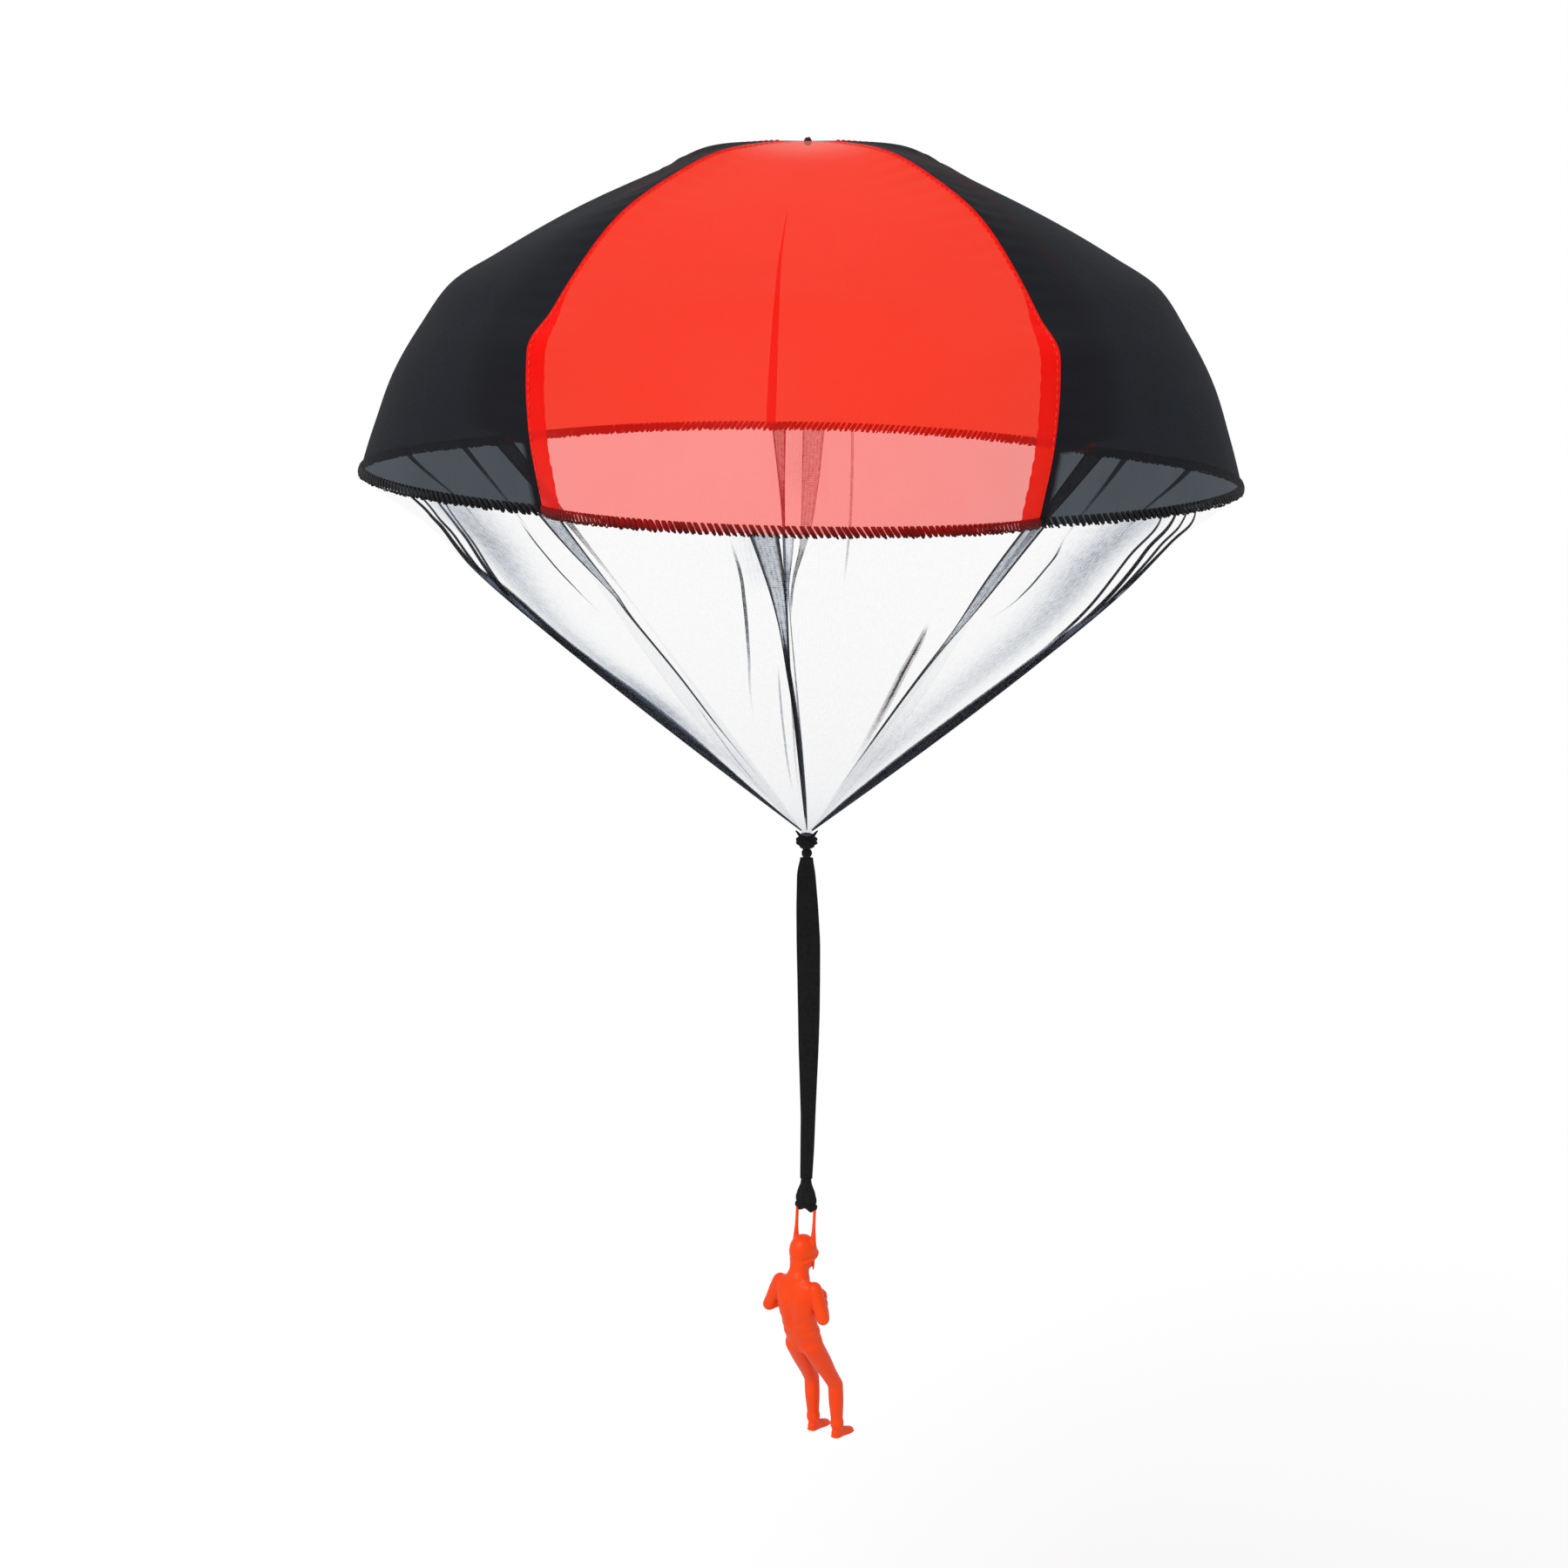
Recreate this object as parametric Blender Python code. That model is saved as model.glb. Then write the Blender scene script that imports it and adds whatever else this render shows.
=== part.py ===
"""Toy parachute: four cloth gores, a tulle skirt, a strap and a moulded figure.

The origin is the top of the thread tack at the crown, from which the toy hangs.
+Z is up, +Y is away from the viewer of the red front gore, and +X is to the right.
"""

import math

import bmesh
import bpy
import numpy as np
from mathutils import Matrix, Vector

MM = 0.001

# Clearances
GAP = 0.3 * MM
BEARING_GAP = 0.4 * MM
CUT_OVERRUN = 2 * MM
SHARP_ANGLE = math.radians(35)

# Canopy: the radius and depth are those of the hem in the middle of a gore
CANOPY_RADIUS = 210 * MM
CANOPY_DEPTH = 157 * MM
CLOTH_THICKNESS = 0.5 * MM
GORE_EDGE_GAP = 0.6 * MM
FRONT_SEAM_ANGLE = math.radians(40.3)
FRONT_TURN = math.radians(-2.4)
BACK_SEAM_ANGLE = math.radians(50)
CANOPY_LEAN = math.radians(1.1)
PLEAT_DEPTH = 4 * MM
PLEAT_WIDTH = 16 * MM
PLEAT_PLACE_SHARE = 0.543
PLEAT_START_SHARE = 0.35
PLEAT_FULL_SHARE = 0.85
MIDDLE_PROFILE_SHARES = [
    (0, 0), (0.10, 0.007), (0.20, 0.03), (0.437, 0.15), (0.70, 0.335), (0.796, 0.42),
    (0.864, 0.55), (0.927, 0.70), (0.968, 0.85), (1, 1),
]
FRONT_SEAM_SHARES = [
    (0, 0), (0.15, 0.003), (0.282, 0.023), (0.438, 0.094), (0.592, 0.20), (0.721, 0.36),
    (0.785, 0.46), (0.85, 0.555), (0.853, 0.60), (0.847, 0.78), (0.803, 1.029),
]
BACK_SEAM_SHARES = [
    (0, 0), (0.15, 0.003), (0.31, 0.025), (0.464, 0.11), (0.637, 0.23), (0.781, 0.37),
    (0.894, 0.58), (0.938, 0.78), (0.958, 1.013),
]
GORE_ROWS = 18
GORE_COLUMNS = 12

# Canopy seams
SEAM_WIDTH = 8 * MM
SEAM_THICKNESS = 0.8 * MM
SEAM_MOST_SHARE = 0.2
SEAM_FIRST_ROW = 1
SEAM_SIDES = {"front": ("left", "right"), "back": ("right", "left")}
MIDDLE_GATHER_SHARE = 0.09

# Crown tack
TACK_RADIUS = 2.2 * MM
TACK_HEIGHT = 1.8 * MM
TACK_LENGTH = 4.2 * MM
TACK_SHARES = [(0, 0.72), (0.06, 0.86), (0.2, 1), (0.65, 1), (0.85, 0.8), (1, 0.45)]
TACK_SIDES = 20

# Hem overlock
HEM_HEIGHT = 5.5 * MM
HEM_THICKNESS = 1.8 * MM
HEM_STEPS = 96
HEM_SIDES = 8

# Netting
NET_THICKNESS = 0.4 * MM
NET_SAG = 9 * MM
NET_FOLD_DEPTH = 9 * MM
NET_FOLD_SHARE = 0.043
NET_MIDDLE_FOLD_SHARE = 0.7
NET_FOLD_SHARES = {"front": 0.47, "right": 0.57, "back": 0.53, "left": 0.43}
NET_WAVE_DEPTH = 2.4 * MM
NET_WAVES = 3
NET_BUNCH_RADIUS = 2.9 * MM
NET_ROWS = 16
NET_COLUMNS = 16
NET_SEAM_WIDTH = 8 * MM
NET_SEAM_THICKNESS = 0.6 * MM
NET_SEAM_TRIM = 1.2 * MM
NET_SEAM_LAST_ROW = 3

# Gather knot and the pinched neck that the strap swings on
KNOT_TOP = -335.5 * MM
KNOT_HEIGHT = 8.5 * MM
KNOT_WIDTH = 11 * MM
KNOT_DEPTH = 9 * MM
KNOT_HOLE_DEPTH = 2.6 * MM
KNOT_WRAP_SHARE = 0.09
KNOT_TURNS = 2
NECK_RADIUS = 2.7 * MM
NECK_DROP = 1.9 * MM
NECK_SEAT_DEPTH = 0.4 * MM
KNOT_SIDES = 28
KNOT_RINGS = 14
BALL_SIDES = 24
BALL_RINGS = 14

# Strap: the shares are 0 where it is pinched and 1 where it is widest
STRAP_LENGTH = 166 * MM
STRAP_WIDTH = 11 * MM
STRAP_THICKNESS = 1.7 * MM
STRAP_NECK_WIDTH = 5.2 * MM
STRAP_NECK_THICKNESS = 3.4 * MM
STRAP_CREASE_DEPTH = 0.5 * MM
STRAP_CREASE_SHARE = 0.16
STRAP_WIDTH_SHARES = [
    (0, 0), (0.06, 0.70), (0.14, 0.92), (0.25, 1), (0.45, 0.95), (0.60, 0.80),
    (0.75, 0.46), (0.88, 0.35), (1, 0),
]
STRAP_RINGS = 26
STRAP_SIDES = 18

# Strap hitch: a fan of cloth that ends in a sleeve round the bail, notched from below
HITCH_HEIGHT = 14.5 * MM
HITCH_WIDTH = 12.4 * MM
HITCH_DEPTH = 6 * MM
HITCH_FAN_SHARES = [(0, 0.42, 0.57), (0.25, 0.52, 0.66), (0.55, 0.84, 0.88), (0.78, 1, 1), (1, 0.9, 0.8)]
HITCH_RINGS = 9
HITCH_SIDES = 24
SLEEVE_LENGTH = 7.9 * MM
SLEEVE_WALL = 1.3 * MM
SLEEVE_EDGE = 0.35 * MM
SLEEVE_SIDES = 20
NOTCH_WIDTH = 6.4 * MM

# Figure: its own axes run right, forwards and up from the axis of the bail's top bar
FIGURE_TURN = math.radians(-37)
BAIL_RADIUS = 0.85 * MM
BAIL_SPACING = 10.8 * MM
BAIL_CORNER = 1.6 * MM
BAIL_CORNER_STEPS = 5
BAIL_ROOT_WIDTH = 3.2 * MM
BAIL_ROOT_DEPTH = 5.2 * MM
BAIL_SIDES = 12
HEAD_TOP = 14.8 * MM
HEAD_HEIGHT = 19.5 * MM
HEAD_WIDTH = 13.4 * MM
HEAD_LENGTH = 15.6 * MM
HEAD_BACK = 0.8 * MM
HELMET_HEIGHT = 17.6 * MM
HELMET_TILT = math.radians(21)
HELMET_SHARES = [
    (-1, 0.14), (-0.95, 0.34), (-0.82, 0.58), (-0.6, 0.80), (-0.3, 0.95), (0, 1), (0.27, 0.98),
    (0.31, 1.05), (0.42, 1.04), (0.45, 0.96),
]
FACE_SHARES = [
    (0.25, -0.02, 0.74, 0.74), (0.50, 0, 0.83, 0.83), (0.58, -0.01, 0.80, 0.78), (0.70, 0, 0.78, 0.81),
    (0.84, 0.02, 0.66, 0.74), (0.94, 0.05, 0.50, 0.60), (1, 0.06, 0.26, 0.32),
]
NOSE_LENGTH = 2.8 * MM
NOSE_WIDTH = 1.9 * MM
NOSE_REACH = 1.6 * MM
NOSE_TOP_SHARE = 0.47
NECK_WIDTH = 9.6 * MM
NECK_BACK = 2.9 * MM
SHOULDER_DROP = 37 * MM
SHOULDER_WIDTH = 29 * MM
SHOULDER_BACK = 4.6 * MM
TORSO_LENGTH = 40 * MM
TORSO_SWAY = 10 * MM
CHEST_WIDTH = 23 * MM
CHEST_DEPTH = 14.4 * MM
TORSO_SHARES = [
    (0, -0.36, 0.44, 0.62), (0.045, -0.42, 0.93, 0.72), (0.11, -0.45, 1.08, 0.86), (0.25, -0.42, 1.02, 1),
    (0.43, -0.30, 0.92, 0.95), (0.60, -0.10, 0.82, 0.84), (0.75, 0.18, 0.85, 0.86),
    (0.90, 0.45, 0.87, 0.88), (1, 0.62, 0.58, 0.66),
]
TORSO_RINGS = 17
SPINE_DEPTH = 1.1 * MM
SPINE_WIDTH = 5 * MM
HIP_DROP = 37.2 * MM
HIP_FORWARD = 4 * MM
HIP_SPACING = 10.4 * MM
KNEE_SPACING = 15.2 * MM
THIGH_LENGTH = 30.8 * MM
THIGH_PITCH = math.radians(37)
SHIN_LENGTH = 27 * MM
SHIN_PITCH = math.radians(8)
THIGH_WIDTH = 11 * MM
KNEE_WIDTH = 7.6 * MM
CALF_WIDTH = 7.4 * MM
CALF_SHARE = 0.35
ANKLE_WIDTH = 5.2 * MM
BOOT_LENGTH = 15.5 * MM
BOOT_HEEL = 2.9 * MM
BOOT_WIDTH = 5.8 * MM
BOOT_HEIGHT = 5 * MM
BOOT_SHARES = [(0.17, 0.92, 1), (0.40, 0.86, 0.94), (0.65, 1, 0.74), (0.86, 0.9, 0.58)]
UPPER_ARM_WIDTH = 7.4 * MM
ELBOW_WIDTH = 6.6 * MM
ELBOW_SPACING = 34 * MM
ELBOW_DROP = 21 * MM
WRIST_WIDTH = 4.6 * MM
WRIST_SHARE = 0.72
HAND_SIZE = 5.6 * MM
HAND_SHARE = 0.9
HAND_SPACING = 12 * MM
HAND_FORWARD = 9 * MM
HAND_DROP = 11 * MM
LIMB_RINGS = 6
LIMB_SIDES = 14
BODY_SIDES = 24
END_ANGLES = np.radians([28, 52, 74])

RED = (0.93, 0.055, 0.025)
BLACK = (0.016, 0.018, 0.022)
NET_BLACK = (0.035, 0.037, 0.042)
ORANGE = (1.0, 0.11, 0.015)


def clear_scene():
    for old in list(bpy.data.objects):
        bpy.data.objects.remove(old)


def material(name, colour, roughness, metallic=0.0):
    """A Principled material, made once for each name."""
    found = bpy.data.materials.get(name)
    if found:
        return found
    made = bpy.data.materials.new(name)
    made.use_nodes = True
    shader = made.node_tree.nodes["Principled BSDF"]
    shader.inputs["Base Color"].default_value = (*colour, 1)
    shader.inputs["Roughness"].default_value = roughness
    shader.inputs["Metallic"].default_value = metallic
    return made


def new_object(name, vertices, faces, finish):
    """A mesh object from points in metres and faces that point outwards."""
    mesh = bpy.data.meshes.new(name)
    mesh.from_pydata([tuple(map(float, v)) for v in vertices], [], faces)
    made = bpy.data.objects.new(name, mesh)
    made.data.materials.append(finish)
    bpy.context.collection.objects.link(made)
    mesh.shade_smooth()
    mesh.set_sharp_from_angle(angle=SHARP_ANGLE)
    return made


def smooth_curve(points, shares):
    """Points at these shares of the length of a smooth curve through the given ones."""
    p = np.asarray(points, float)
    along = np.concatenate([[0], np.cumsum(np.linalg.norm(np.diff(p, axis=0), axis=1))])
    along /= along[-1]
    slope = np.gradient(p, along, axis=0)
    shares = np.asarray(shares, float)
    i = np.clip(np.searchsorted(along, shares, side="right") - 1, 0, len(along) - 2)
    step = (along[i + 1] - along[i])[..., None]
    u = (shares[..., None] - along[i][..., None]) / step
    start = (1 + 2 * u) * (1 - u) ** 2 * p[i] + u * (1 - u) ** 2 * step * slope[i]
    end = u * u * (3 - 2 * u) * p[i + 1] + u * u * (u - 1) * step * slope[i + 1]
    return start + end


def share_between(shares, at):
    """A value read from a table of (place share, value share) by a smooth curve."""
    places, values = np.array(shares, float).T
    slope = np.gradient(values, places)
    i = np.clip(np.searchsorted(places, at, side="right") - 1, 0, len(places) - 2)
    step = places[i + 1] - places[i]
    u = (at - places[i]) / step
    start = (1 + 2 * u) * (1 - u) ** 2 * values[i] + u * (1 - u) ** 2 * step * slope[i]
    return start + u * u * (3 - 2 * u) * values[i + 1] + u * u * (u - 1) * step * slope[i + 1]


def normals_of(grid):
    """Unit normals of a grid of points whose rows run down and columns run anticlockwise."""
    down = np.gradient(grid, axis=0)
    round_it = np.gradient(grid, axis=1)
    normal = np.cross(down, round_it)
    return normal / np.linalg.norm(normal, axis=-1, keepdims=True)


def sheet(name, grid, thickness, finish):
    """A closed cloth panel: the grid is its outer face, and Solidify adds the thickness inside."""
    rows, columns = grid.shape[:2]
    faces = [
        (i * columns + j, (i + 1) * columns + j, (i + 1) * columns + j + 1, i * columns + j + 1)
        for i in range(rows - 1)
        for j in range(columns - 1)
    ]
    made = new_object(name, grid.reshape(-1, 3), faces, finish)
    solid = made.modifiers.new("Thickness", "SOLIDIFY")
    solid.thickness = thickness
    solid.offset = -1
    solid.use_even_offset = True
    return made


def loft(name, rings, finish):
    """A closed body over an array of rings, each a loop of points anticlockwise about the path."""
    count, sides = rings.shape[:2]
    faces = [
        (i * sides + j, i * sides + (j + 1) % sides, (i + 1) * sides + (j + 1) % sides, (i + 1) * sides + j)
        for i in range(count - 1)
        for j in range(sides)
    ]
    faces.append(tuple(reversed(range(sides))))
    faces.append(tuple(range((count - 1) * sides, count * sides)))
    return new_object(name, rings.reshape(-1, 3), faces, finish)


def oval_rings(path, widths, depths, sides, across=(1, 0, 0), fullness=1.0):
    """Ovals square to a path: widths lie along `across`, and fullness under 1 squares them."""
    tangent = np.gradient(path, axis=0)
    tangent /= np.linalg.norm(tangent, axis=1, keepdims=True)
    side = np.array(across) - tangent * (tangent @ np.array(across))[:, None]
    side /= np.linalg.norm(side, axis=1, keepdims=True)
    other = np.cross(tangent, side)
    angle = np.linspace(0, 2 * math.pi, sides, endpoint=False)
    wide = np.sign(np.cos(angle)) * np.abs(np.cos(angle)) ** fullness
    deep = np.sign(np.sin(angle)) * np.abs(np.sin(angle)) ** fullness
    return (
        path[:, None]
        + side[:, None] * np.multiply.outer(widths / 2, wide)[..., None]
        + other[:, None] * np.multiply.outer(depths / 2, deep)[..., None]
    )


def round_ended(rows):
    """Adds the rings of a rounded end at both ends of rows of (x, y, z, width, depth)."""
    ends = []
    for end, inner in ((rows[0], rows[1]), (rows[-1], rows[-2])):
        way = (end - inner)[:3] / np.linalg.norm((end - inner)[:3])
        cap = np.repeat(end[None], len(END_ANGLES), axis=0)
        cap[:, :3] += np.outer(np.sin(END_ANGLES) * end[3:].mean() / 2, way)
        cap[:, 3:] *= np.cos(END_ANGLES)[:, None]
        ends.append(cap)
    return np.concatenate([ends[0][::-1], rows, ends[1]])


def limb(name, rows, rings, finish, across=(1, 0, 0)):
    """A round-ended body over a smooth run of ovals, each row an oval's (x, y, z, width, depth)."""
    rows = round_ended(smooth_curve(np.array(rows), np.linspace(0, 1, rings)))
    return loft(name, oval_rings(rows[:, :3], rows[:, 3], rows[:, 4], LIMB_SIDES, across), finish)


def ball(name, radius, middle, sides, rings, finish):
    """A sphere with small flat poles."""
    lift = np.linspace(-1, 1, rings) * (math.pi / 2) * (1 - 1 / sides)
    path = np.outer(np.sin(lift) * radius, [0, 0, 1]) + middle
    widths = np.cos(lift) * 2 * radius
    return loft(name, oval_rings(path, widths, widths, sides), finish)


def combine(body, other, operation):
    """Joins another closed body to this one, or takes it away."""
    other.hide_render = True
    other.display_type = "WIRE"
    tool = body.modifiers.new(operation.title(), "BOOLEAN")
    tool.operation = operation
    tool.object = other


def bake(body):
    """Turns the joined and cut body into one mesh, and drops the bodies that made it."""
    used = [tool.object for tool in body.modifiers]
    evaluated = body.evaluated_get(bpy.context.evaluated_depsgraph_get())
    mesh = bpy.data.meshes.new_from_object(evaluated)
    body.modifiers.clear()
    body.data = mesh
    for other in used:
        bpy.data.objects.remove(other)


def set_origin(body, origin):
    """Moves the object's origin onto its joint, and leaves its shape where it is."""
    body.data.transform(Matrix.Translation(-Vector(origin)))
    body.location = origin


# Canopy

FRONT_MIDDLE = FRONT_TURN - math.pi / 2
GORES = {
    "front": (FRONT_MIDDLE - FRONT_SEAM_ANGLE, FRONT_MIDDLE + FRONT_SEAM_ANGLE),
    "right": (FRONT_MIDDLE + FRONT_SEAM_ANGLE, math.pi / 2 - BACK_SEAM_ANGLE),
    "back": (math.pi / 2 - BACK_SEAM_ANGLE, math.pi / 2 + BACK_SEAM_ANGLE),
    "left": (math.pi / 2 + BACK_SEAM_ANGLE, FRONT_MIDDLE + 2 * math.pi - FRONT_SEAM_ANGLE),
}
SEAM_SHARES = {"front": FRONT_SEAM_SHARES, "back": BACK_SEAM_SHARES}
GORE_SEAMS = {
    "front": ("front", "front"), "right": ("front", "back"),
    "back": ("back", "back"), "left": ("back", "front"),
}
CANOPY_SIZE = np.array([CANOPY_RADIUS, CANOPY_DEPTH])
CANOPY_LENGTH = np.linalg.norm(
    np.diff(np.array(MIDDLE_PROFILE_SHARES) * CANOPY_SIZE, axis=0), axis=1
).sum()
CLOTH_END = 1 - (HEM_HEIGHT + GAP) / CANOPY_LENGTH
HEM_MIDDLE = 1 - HEM_HEIGHT / 2 / CANOPY_LENGTH
CROWN_RADIUS = TACK_RADIUS + GAP


def lean(points):
    """The hem hangs lower on its right and a little to the left, and the crown stays where it is."""
    slope = math.tan(CANOPY_LEAN)
    x, y, z = np.moveaxis(points, -1, 0)
    return np.stack([x + slope * z, y, z + slope * x * z / CANOPY_DEPTH], -1)


def canopy_points(gore, down, across):
    """Points of the canopy's outer face: down is a share of the profile, across one of the gore."""
    start, end = GORES[gore]
    middle = smooth_curve(np.array(MIDDLE_PROFILE_SHARES) * CANOPY_SIZE, down)
    first, last = (
        smooth_curve(np.array(SEAM_SHARES[seam]) * CANOPY_SIZE, down) for seam in GORE_SEAMS[gore]
    )
    seam = first + (last - first) * across[..., None]
    bulge = (1 - (2 * across - 1) ** 2)[..., None]
    radius, depth = np.moveaxis(seam + (middle - seam) * bulge, -1, 0)
    azimuth = start + (end - start) * across
    if gore == "back":
        off_middle = (across - PLEAT_PLACE_SHARE) * (end - start) * radius / (PLEAT_WIDTH / 2)
        opened = (down - PLEAT_START_SHARE) / (PLEAT_FULL_SHARE - PLEAT_START_SHARE)
        radius = radius - PLEAT_DEPTH * np.exp(-(off_middle**2)) * np.clip(opened, 0, 1)
    points = np.stack([radius * np.cos(azimuth), radius * np.sin(azimuth), -depth], -1)
    return lean(points) - [0, 0, TACK_HEIGHT]


def panel_columns(count, seam_share):
    """Places across a panel: one seam's width in from each edge, and closer together in the middle."""
    even = np.linspace(0, 1, count - 1)
    inner = even + MIDDLE_GATHER_SHARE * np.sin(2 * math.pi * even)
    return np.concatenate([[0], seam_share + (1 - 2 * seam_share) * inner, [1]])


def panel_places(gore, radius, count, edge_gap, seam_width):
    """Places across a panel for each row's radius, drawn in at both ends by half of the gap there."""
    start, end = GORES[gore]
    rows = []
    for arc in radius * (end - start):
        inset = edge_gap / 2 / arc
        columns = panel_columns(count, min(seam_width / arc, SEAM_MOST_SHARE))
        rows.append(inset + (1 - 2 * inset) * columns)
    return np.array(rows)


def gore_grid(gore):
    down = np.linspace(CROWN_RADIUS / CANOPY_LENGTH, CLOTH_END, GORE_ROWS + 1)
    radius = np.linalg.norm(canopy_points(gore, down, np.zeros_like(down))[:, :2], axis=1)
    across = panel_places(gore, radius, GORE_COLUMNS, GORE_EDGE_GAP, SEAM_WIDTH)
    return canopy_points(gore, np.repeat(down[:, None], across.shape[1], axis=1), across)


def build_gores():
    red = material("red_cloth", RED, 0.6)
    black = material("black_cloth", BLACK, 0.65)
    for gore in GORES:
        finish = red if gore in ("front", "back") else black
        sheet(f"gore_{gore}", gore_grid(gore), CLOTH_THICKNESS, finish)


def seam_strip(name, grid, at_start, cloth, thickness, finish):
    """A strip inside the first or last column of a panel, one gap from its inner face."""
    edge, inner = (grid[:, 0], grid[:, 1]) if at_start else (grid[:, -1], grid[:, -2])
    run = inner - edge
    first = edge + run * (thickness / np.linalg.norm(run, axis=1, keepdims=True))
    pair = (first, inner) if at_start else (inner, first)
    strip = np.stack(pair, axis=1)
    strip = strip - normals_of(strip) * (cloth + GAP)
    sheet(name, strip, thickness, finish)


def build_canopy_seams():
    """Each allowance is pressed to the red side, so it lies inside the red gore along its edge."""
    finish = material("red_cloth", RED, 0.6)
    for gore, sides in SEAM_SIDES.items():
        grid = gore_grid(gore)[SEAM_FIRST_ROW:]
        for side, at_start in zip(sides, (True, False)):
            seam_strip(f"seam_{gore}_{side}", grid, at_start, CLOTH_THICKNESS, SEAM_THICKNESS, finish)


def build_crown_tack():
    """A thread nub through the hole where the gore points meet, with a flat top."""
    finish = material("thread", BLACK, 0.7)
    downs, widths = np.array(TACK_SHARES).T
    path = np.outer(-downs * TACK_LENGTH, [0, 0, 1])
    rings = oval_rings(path, widths * 2 * TACK_RADIUS, widths * 2 * TACK_RADIUS, TACK_SIDES)
    loft("crown_tack", rings, finish)


def rim_points(down, steps):
    """Points round the whole canopy at one share of its profile, anticlockwise from a seam."""
    return np.concatenate([
        canopy_points(gore, np.full(count, down), np.linspace(0, 1, count, endpoint=False))
        for gore, count in steps.items()
    ])


def build_hem():
    """A roll of overlock thread along each gore's hem, an upright oval in section, mitred at the seams."""
    finish = material("thread", BLACK, 0.7)
    steps = {
        gore: round(HEM_STEPS * (end - start) / (2 * math.pi)) for gore, (start, end) in GORES.items()
    }
    middle = rim_points(HEM_MIDDLE, steps)
    down = rim_points(1, steps) - middle
    down /= np.linalg.norm(down, axis=1, keepdims=True)
    forward = np.roll(middle, -1, axis=0) - np.roll(middle, 1, axis=0)
    forward /= np.linalg.norm(forward, axis=1, keepdims=True)
    outward = np.cross(down, forward)
    middle = middle - outward * CLOTH_THICKNESS / 2
    angle = np.linspace(0, 2 * math.pi, HEM_SIDES, endpoint=False) + math.pi / HEM_SIDES
    rings = (
        middle[:, None]
        + outward[:, None] * (HEM_THICKNESS / 2 * np.cos(angle))[None, :, None]
        + down[:, None] * (HEM_HEIGHT / 2 * np.sin(angle))[None, :, None]
    )
    first = 0
    for gore, count in steps.items():
        places = np.arange(first, first + count + 1) % len(rings)
        arc = rings[places]
        arc[0] += forward[places[0]] * GAP / 2
        arc[-1] -= forward[places[-1]] * GAP / 2
        loft(f"hem_{gore}", arc, finish)
        first += count


# Netting

BUNCH_TOP = KNOT_TOP + CLOTH_THICKNESS + GAP


def net_points(gore, down, across):
    """Points of the net's outer face, from the hem at down 0 to the knot at down 1."""
    start, end = GORES[gore]
    hem = canopy_points(gore, np.ones_like(down), across)
    before = canopy_points(gore, np.full_like(down, HEM_MIDDLE), across)
    tangent = (hem - before) / np.linalg.norm(hem - before, axis=-1, keepdims=True)
    hem = hem + tangent * GAP
    azimuth = start + (end - start) * across
    out = np.stack([np.cos(azimuth), np.sin(azimuth), np.zeros_like(azimuth)], -1)
    run = out * NET_BUNCH_RADIUS + np.array([0, 0, BUNCH_TOP]) - hem
    outward = np.cross(np.cross(run, out), run)
    outward /= np.linalg.norm(outward, axis=-1, keepdims=True)
    from_edge = np.minimum(across, 1 - across)
    folds = NET_MIDDLE_FOLD_SHARE * np.exp(-(((across - NET_FOLD_SHARES[gore]) / NET_FOLD_SHARE) ** 2))
    folds = folds + np.exp(-((from_edge / NET_FOLD_SHARE) ** 2))
    waves = np.cos(2 * math.pi * NET_WAVES * across)
    swell = NET_SAG - NET_FOLD_DEPTH * folds - NET_WAVE_DEPTH * waves
    return hem + run * down[..., None] + outward * (swell * np.sin(math.pi * down))[..., None]


def net_grid(gore):
    down = np.linspace(0, 1, NET_ROWS + 1)
    middle = net_points(gore, down, np.full_like(down, 0.5))
    radius = np.linalg.norm(middle[:, :2], axis=1)
    across = panel_places(gore, radius, NET_COLUMNS, GAP, NET_SEAM_WIDTH)
    return net_points(gore, np.repeat(down[:, None], across.shape[1], axis=1), across)


def build_netting():
    """Four panels led into the hole in the knot, and their seams, trimmed just short of the hem."""
    finish = material("black_tulle", NET_BLACK, 0.8)
    for gore in GORES:
        grid = net_grid(gore)
        tail = grid[-1] - [0, 0, KNOT_HOLE_DEPTH]
        sheet(f"net_{gore}", np.concatenate([grid, tail[None]]), NET_THICKNESS, finish)
    for gore, sides in SEAM_SIDES.items():
        grid = net_grid(gore)[:-NET_SEAM_LAST_ROW]
        run = grid[1] - grid[0]
        grid[0] += run * (NET_SEAM_TRIM / np.linalg.norm(run, axis=1, keepdims=True))
        for side, at_start in zip(sides, (True, False)):
            seam_strip(
                f"net_seam_{gore}_{side}", grid, at_start, NET_THICKNESS, NET_SEAM_THICKNESS, finish
            )


# Knot, neck and strap

KNOT_MIDDLE = KNOT_TOP - KNOT_HEIGHT / 2
PIVOT = np.array([0, 0, KNOT_TOP - KNOT_HEIGHT - NECK_DROP])
STRAP_TOP = PIVOT[2] - NECK_RADIUS - GAP + NECK_SEAT_DEPTH
STRAP_BOTTOM = STRAP_TOP - STRAP_LENGTH
BAIL_AXIS = np.array([0, 0, STRAP_BOTTOM - GAP - HITCH_HEIGHT])


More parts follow.
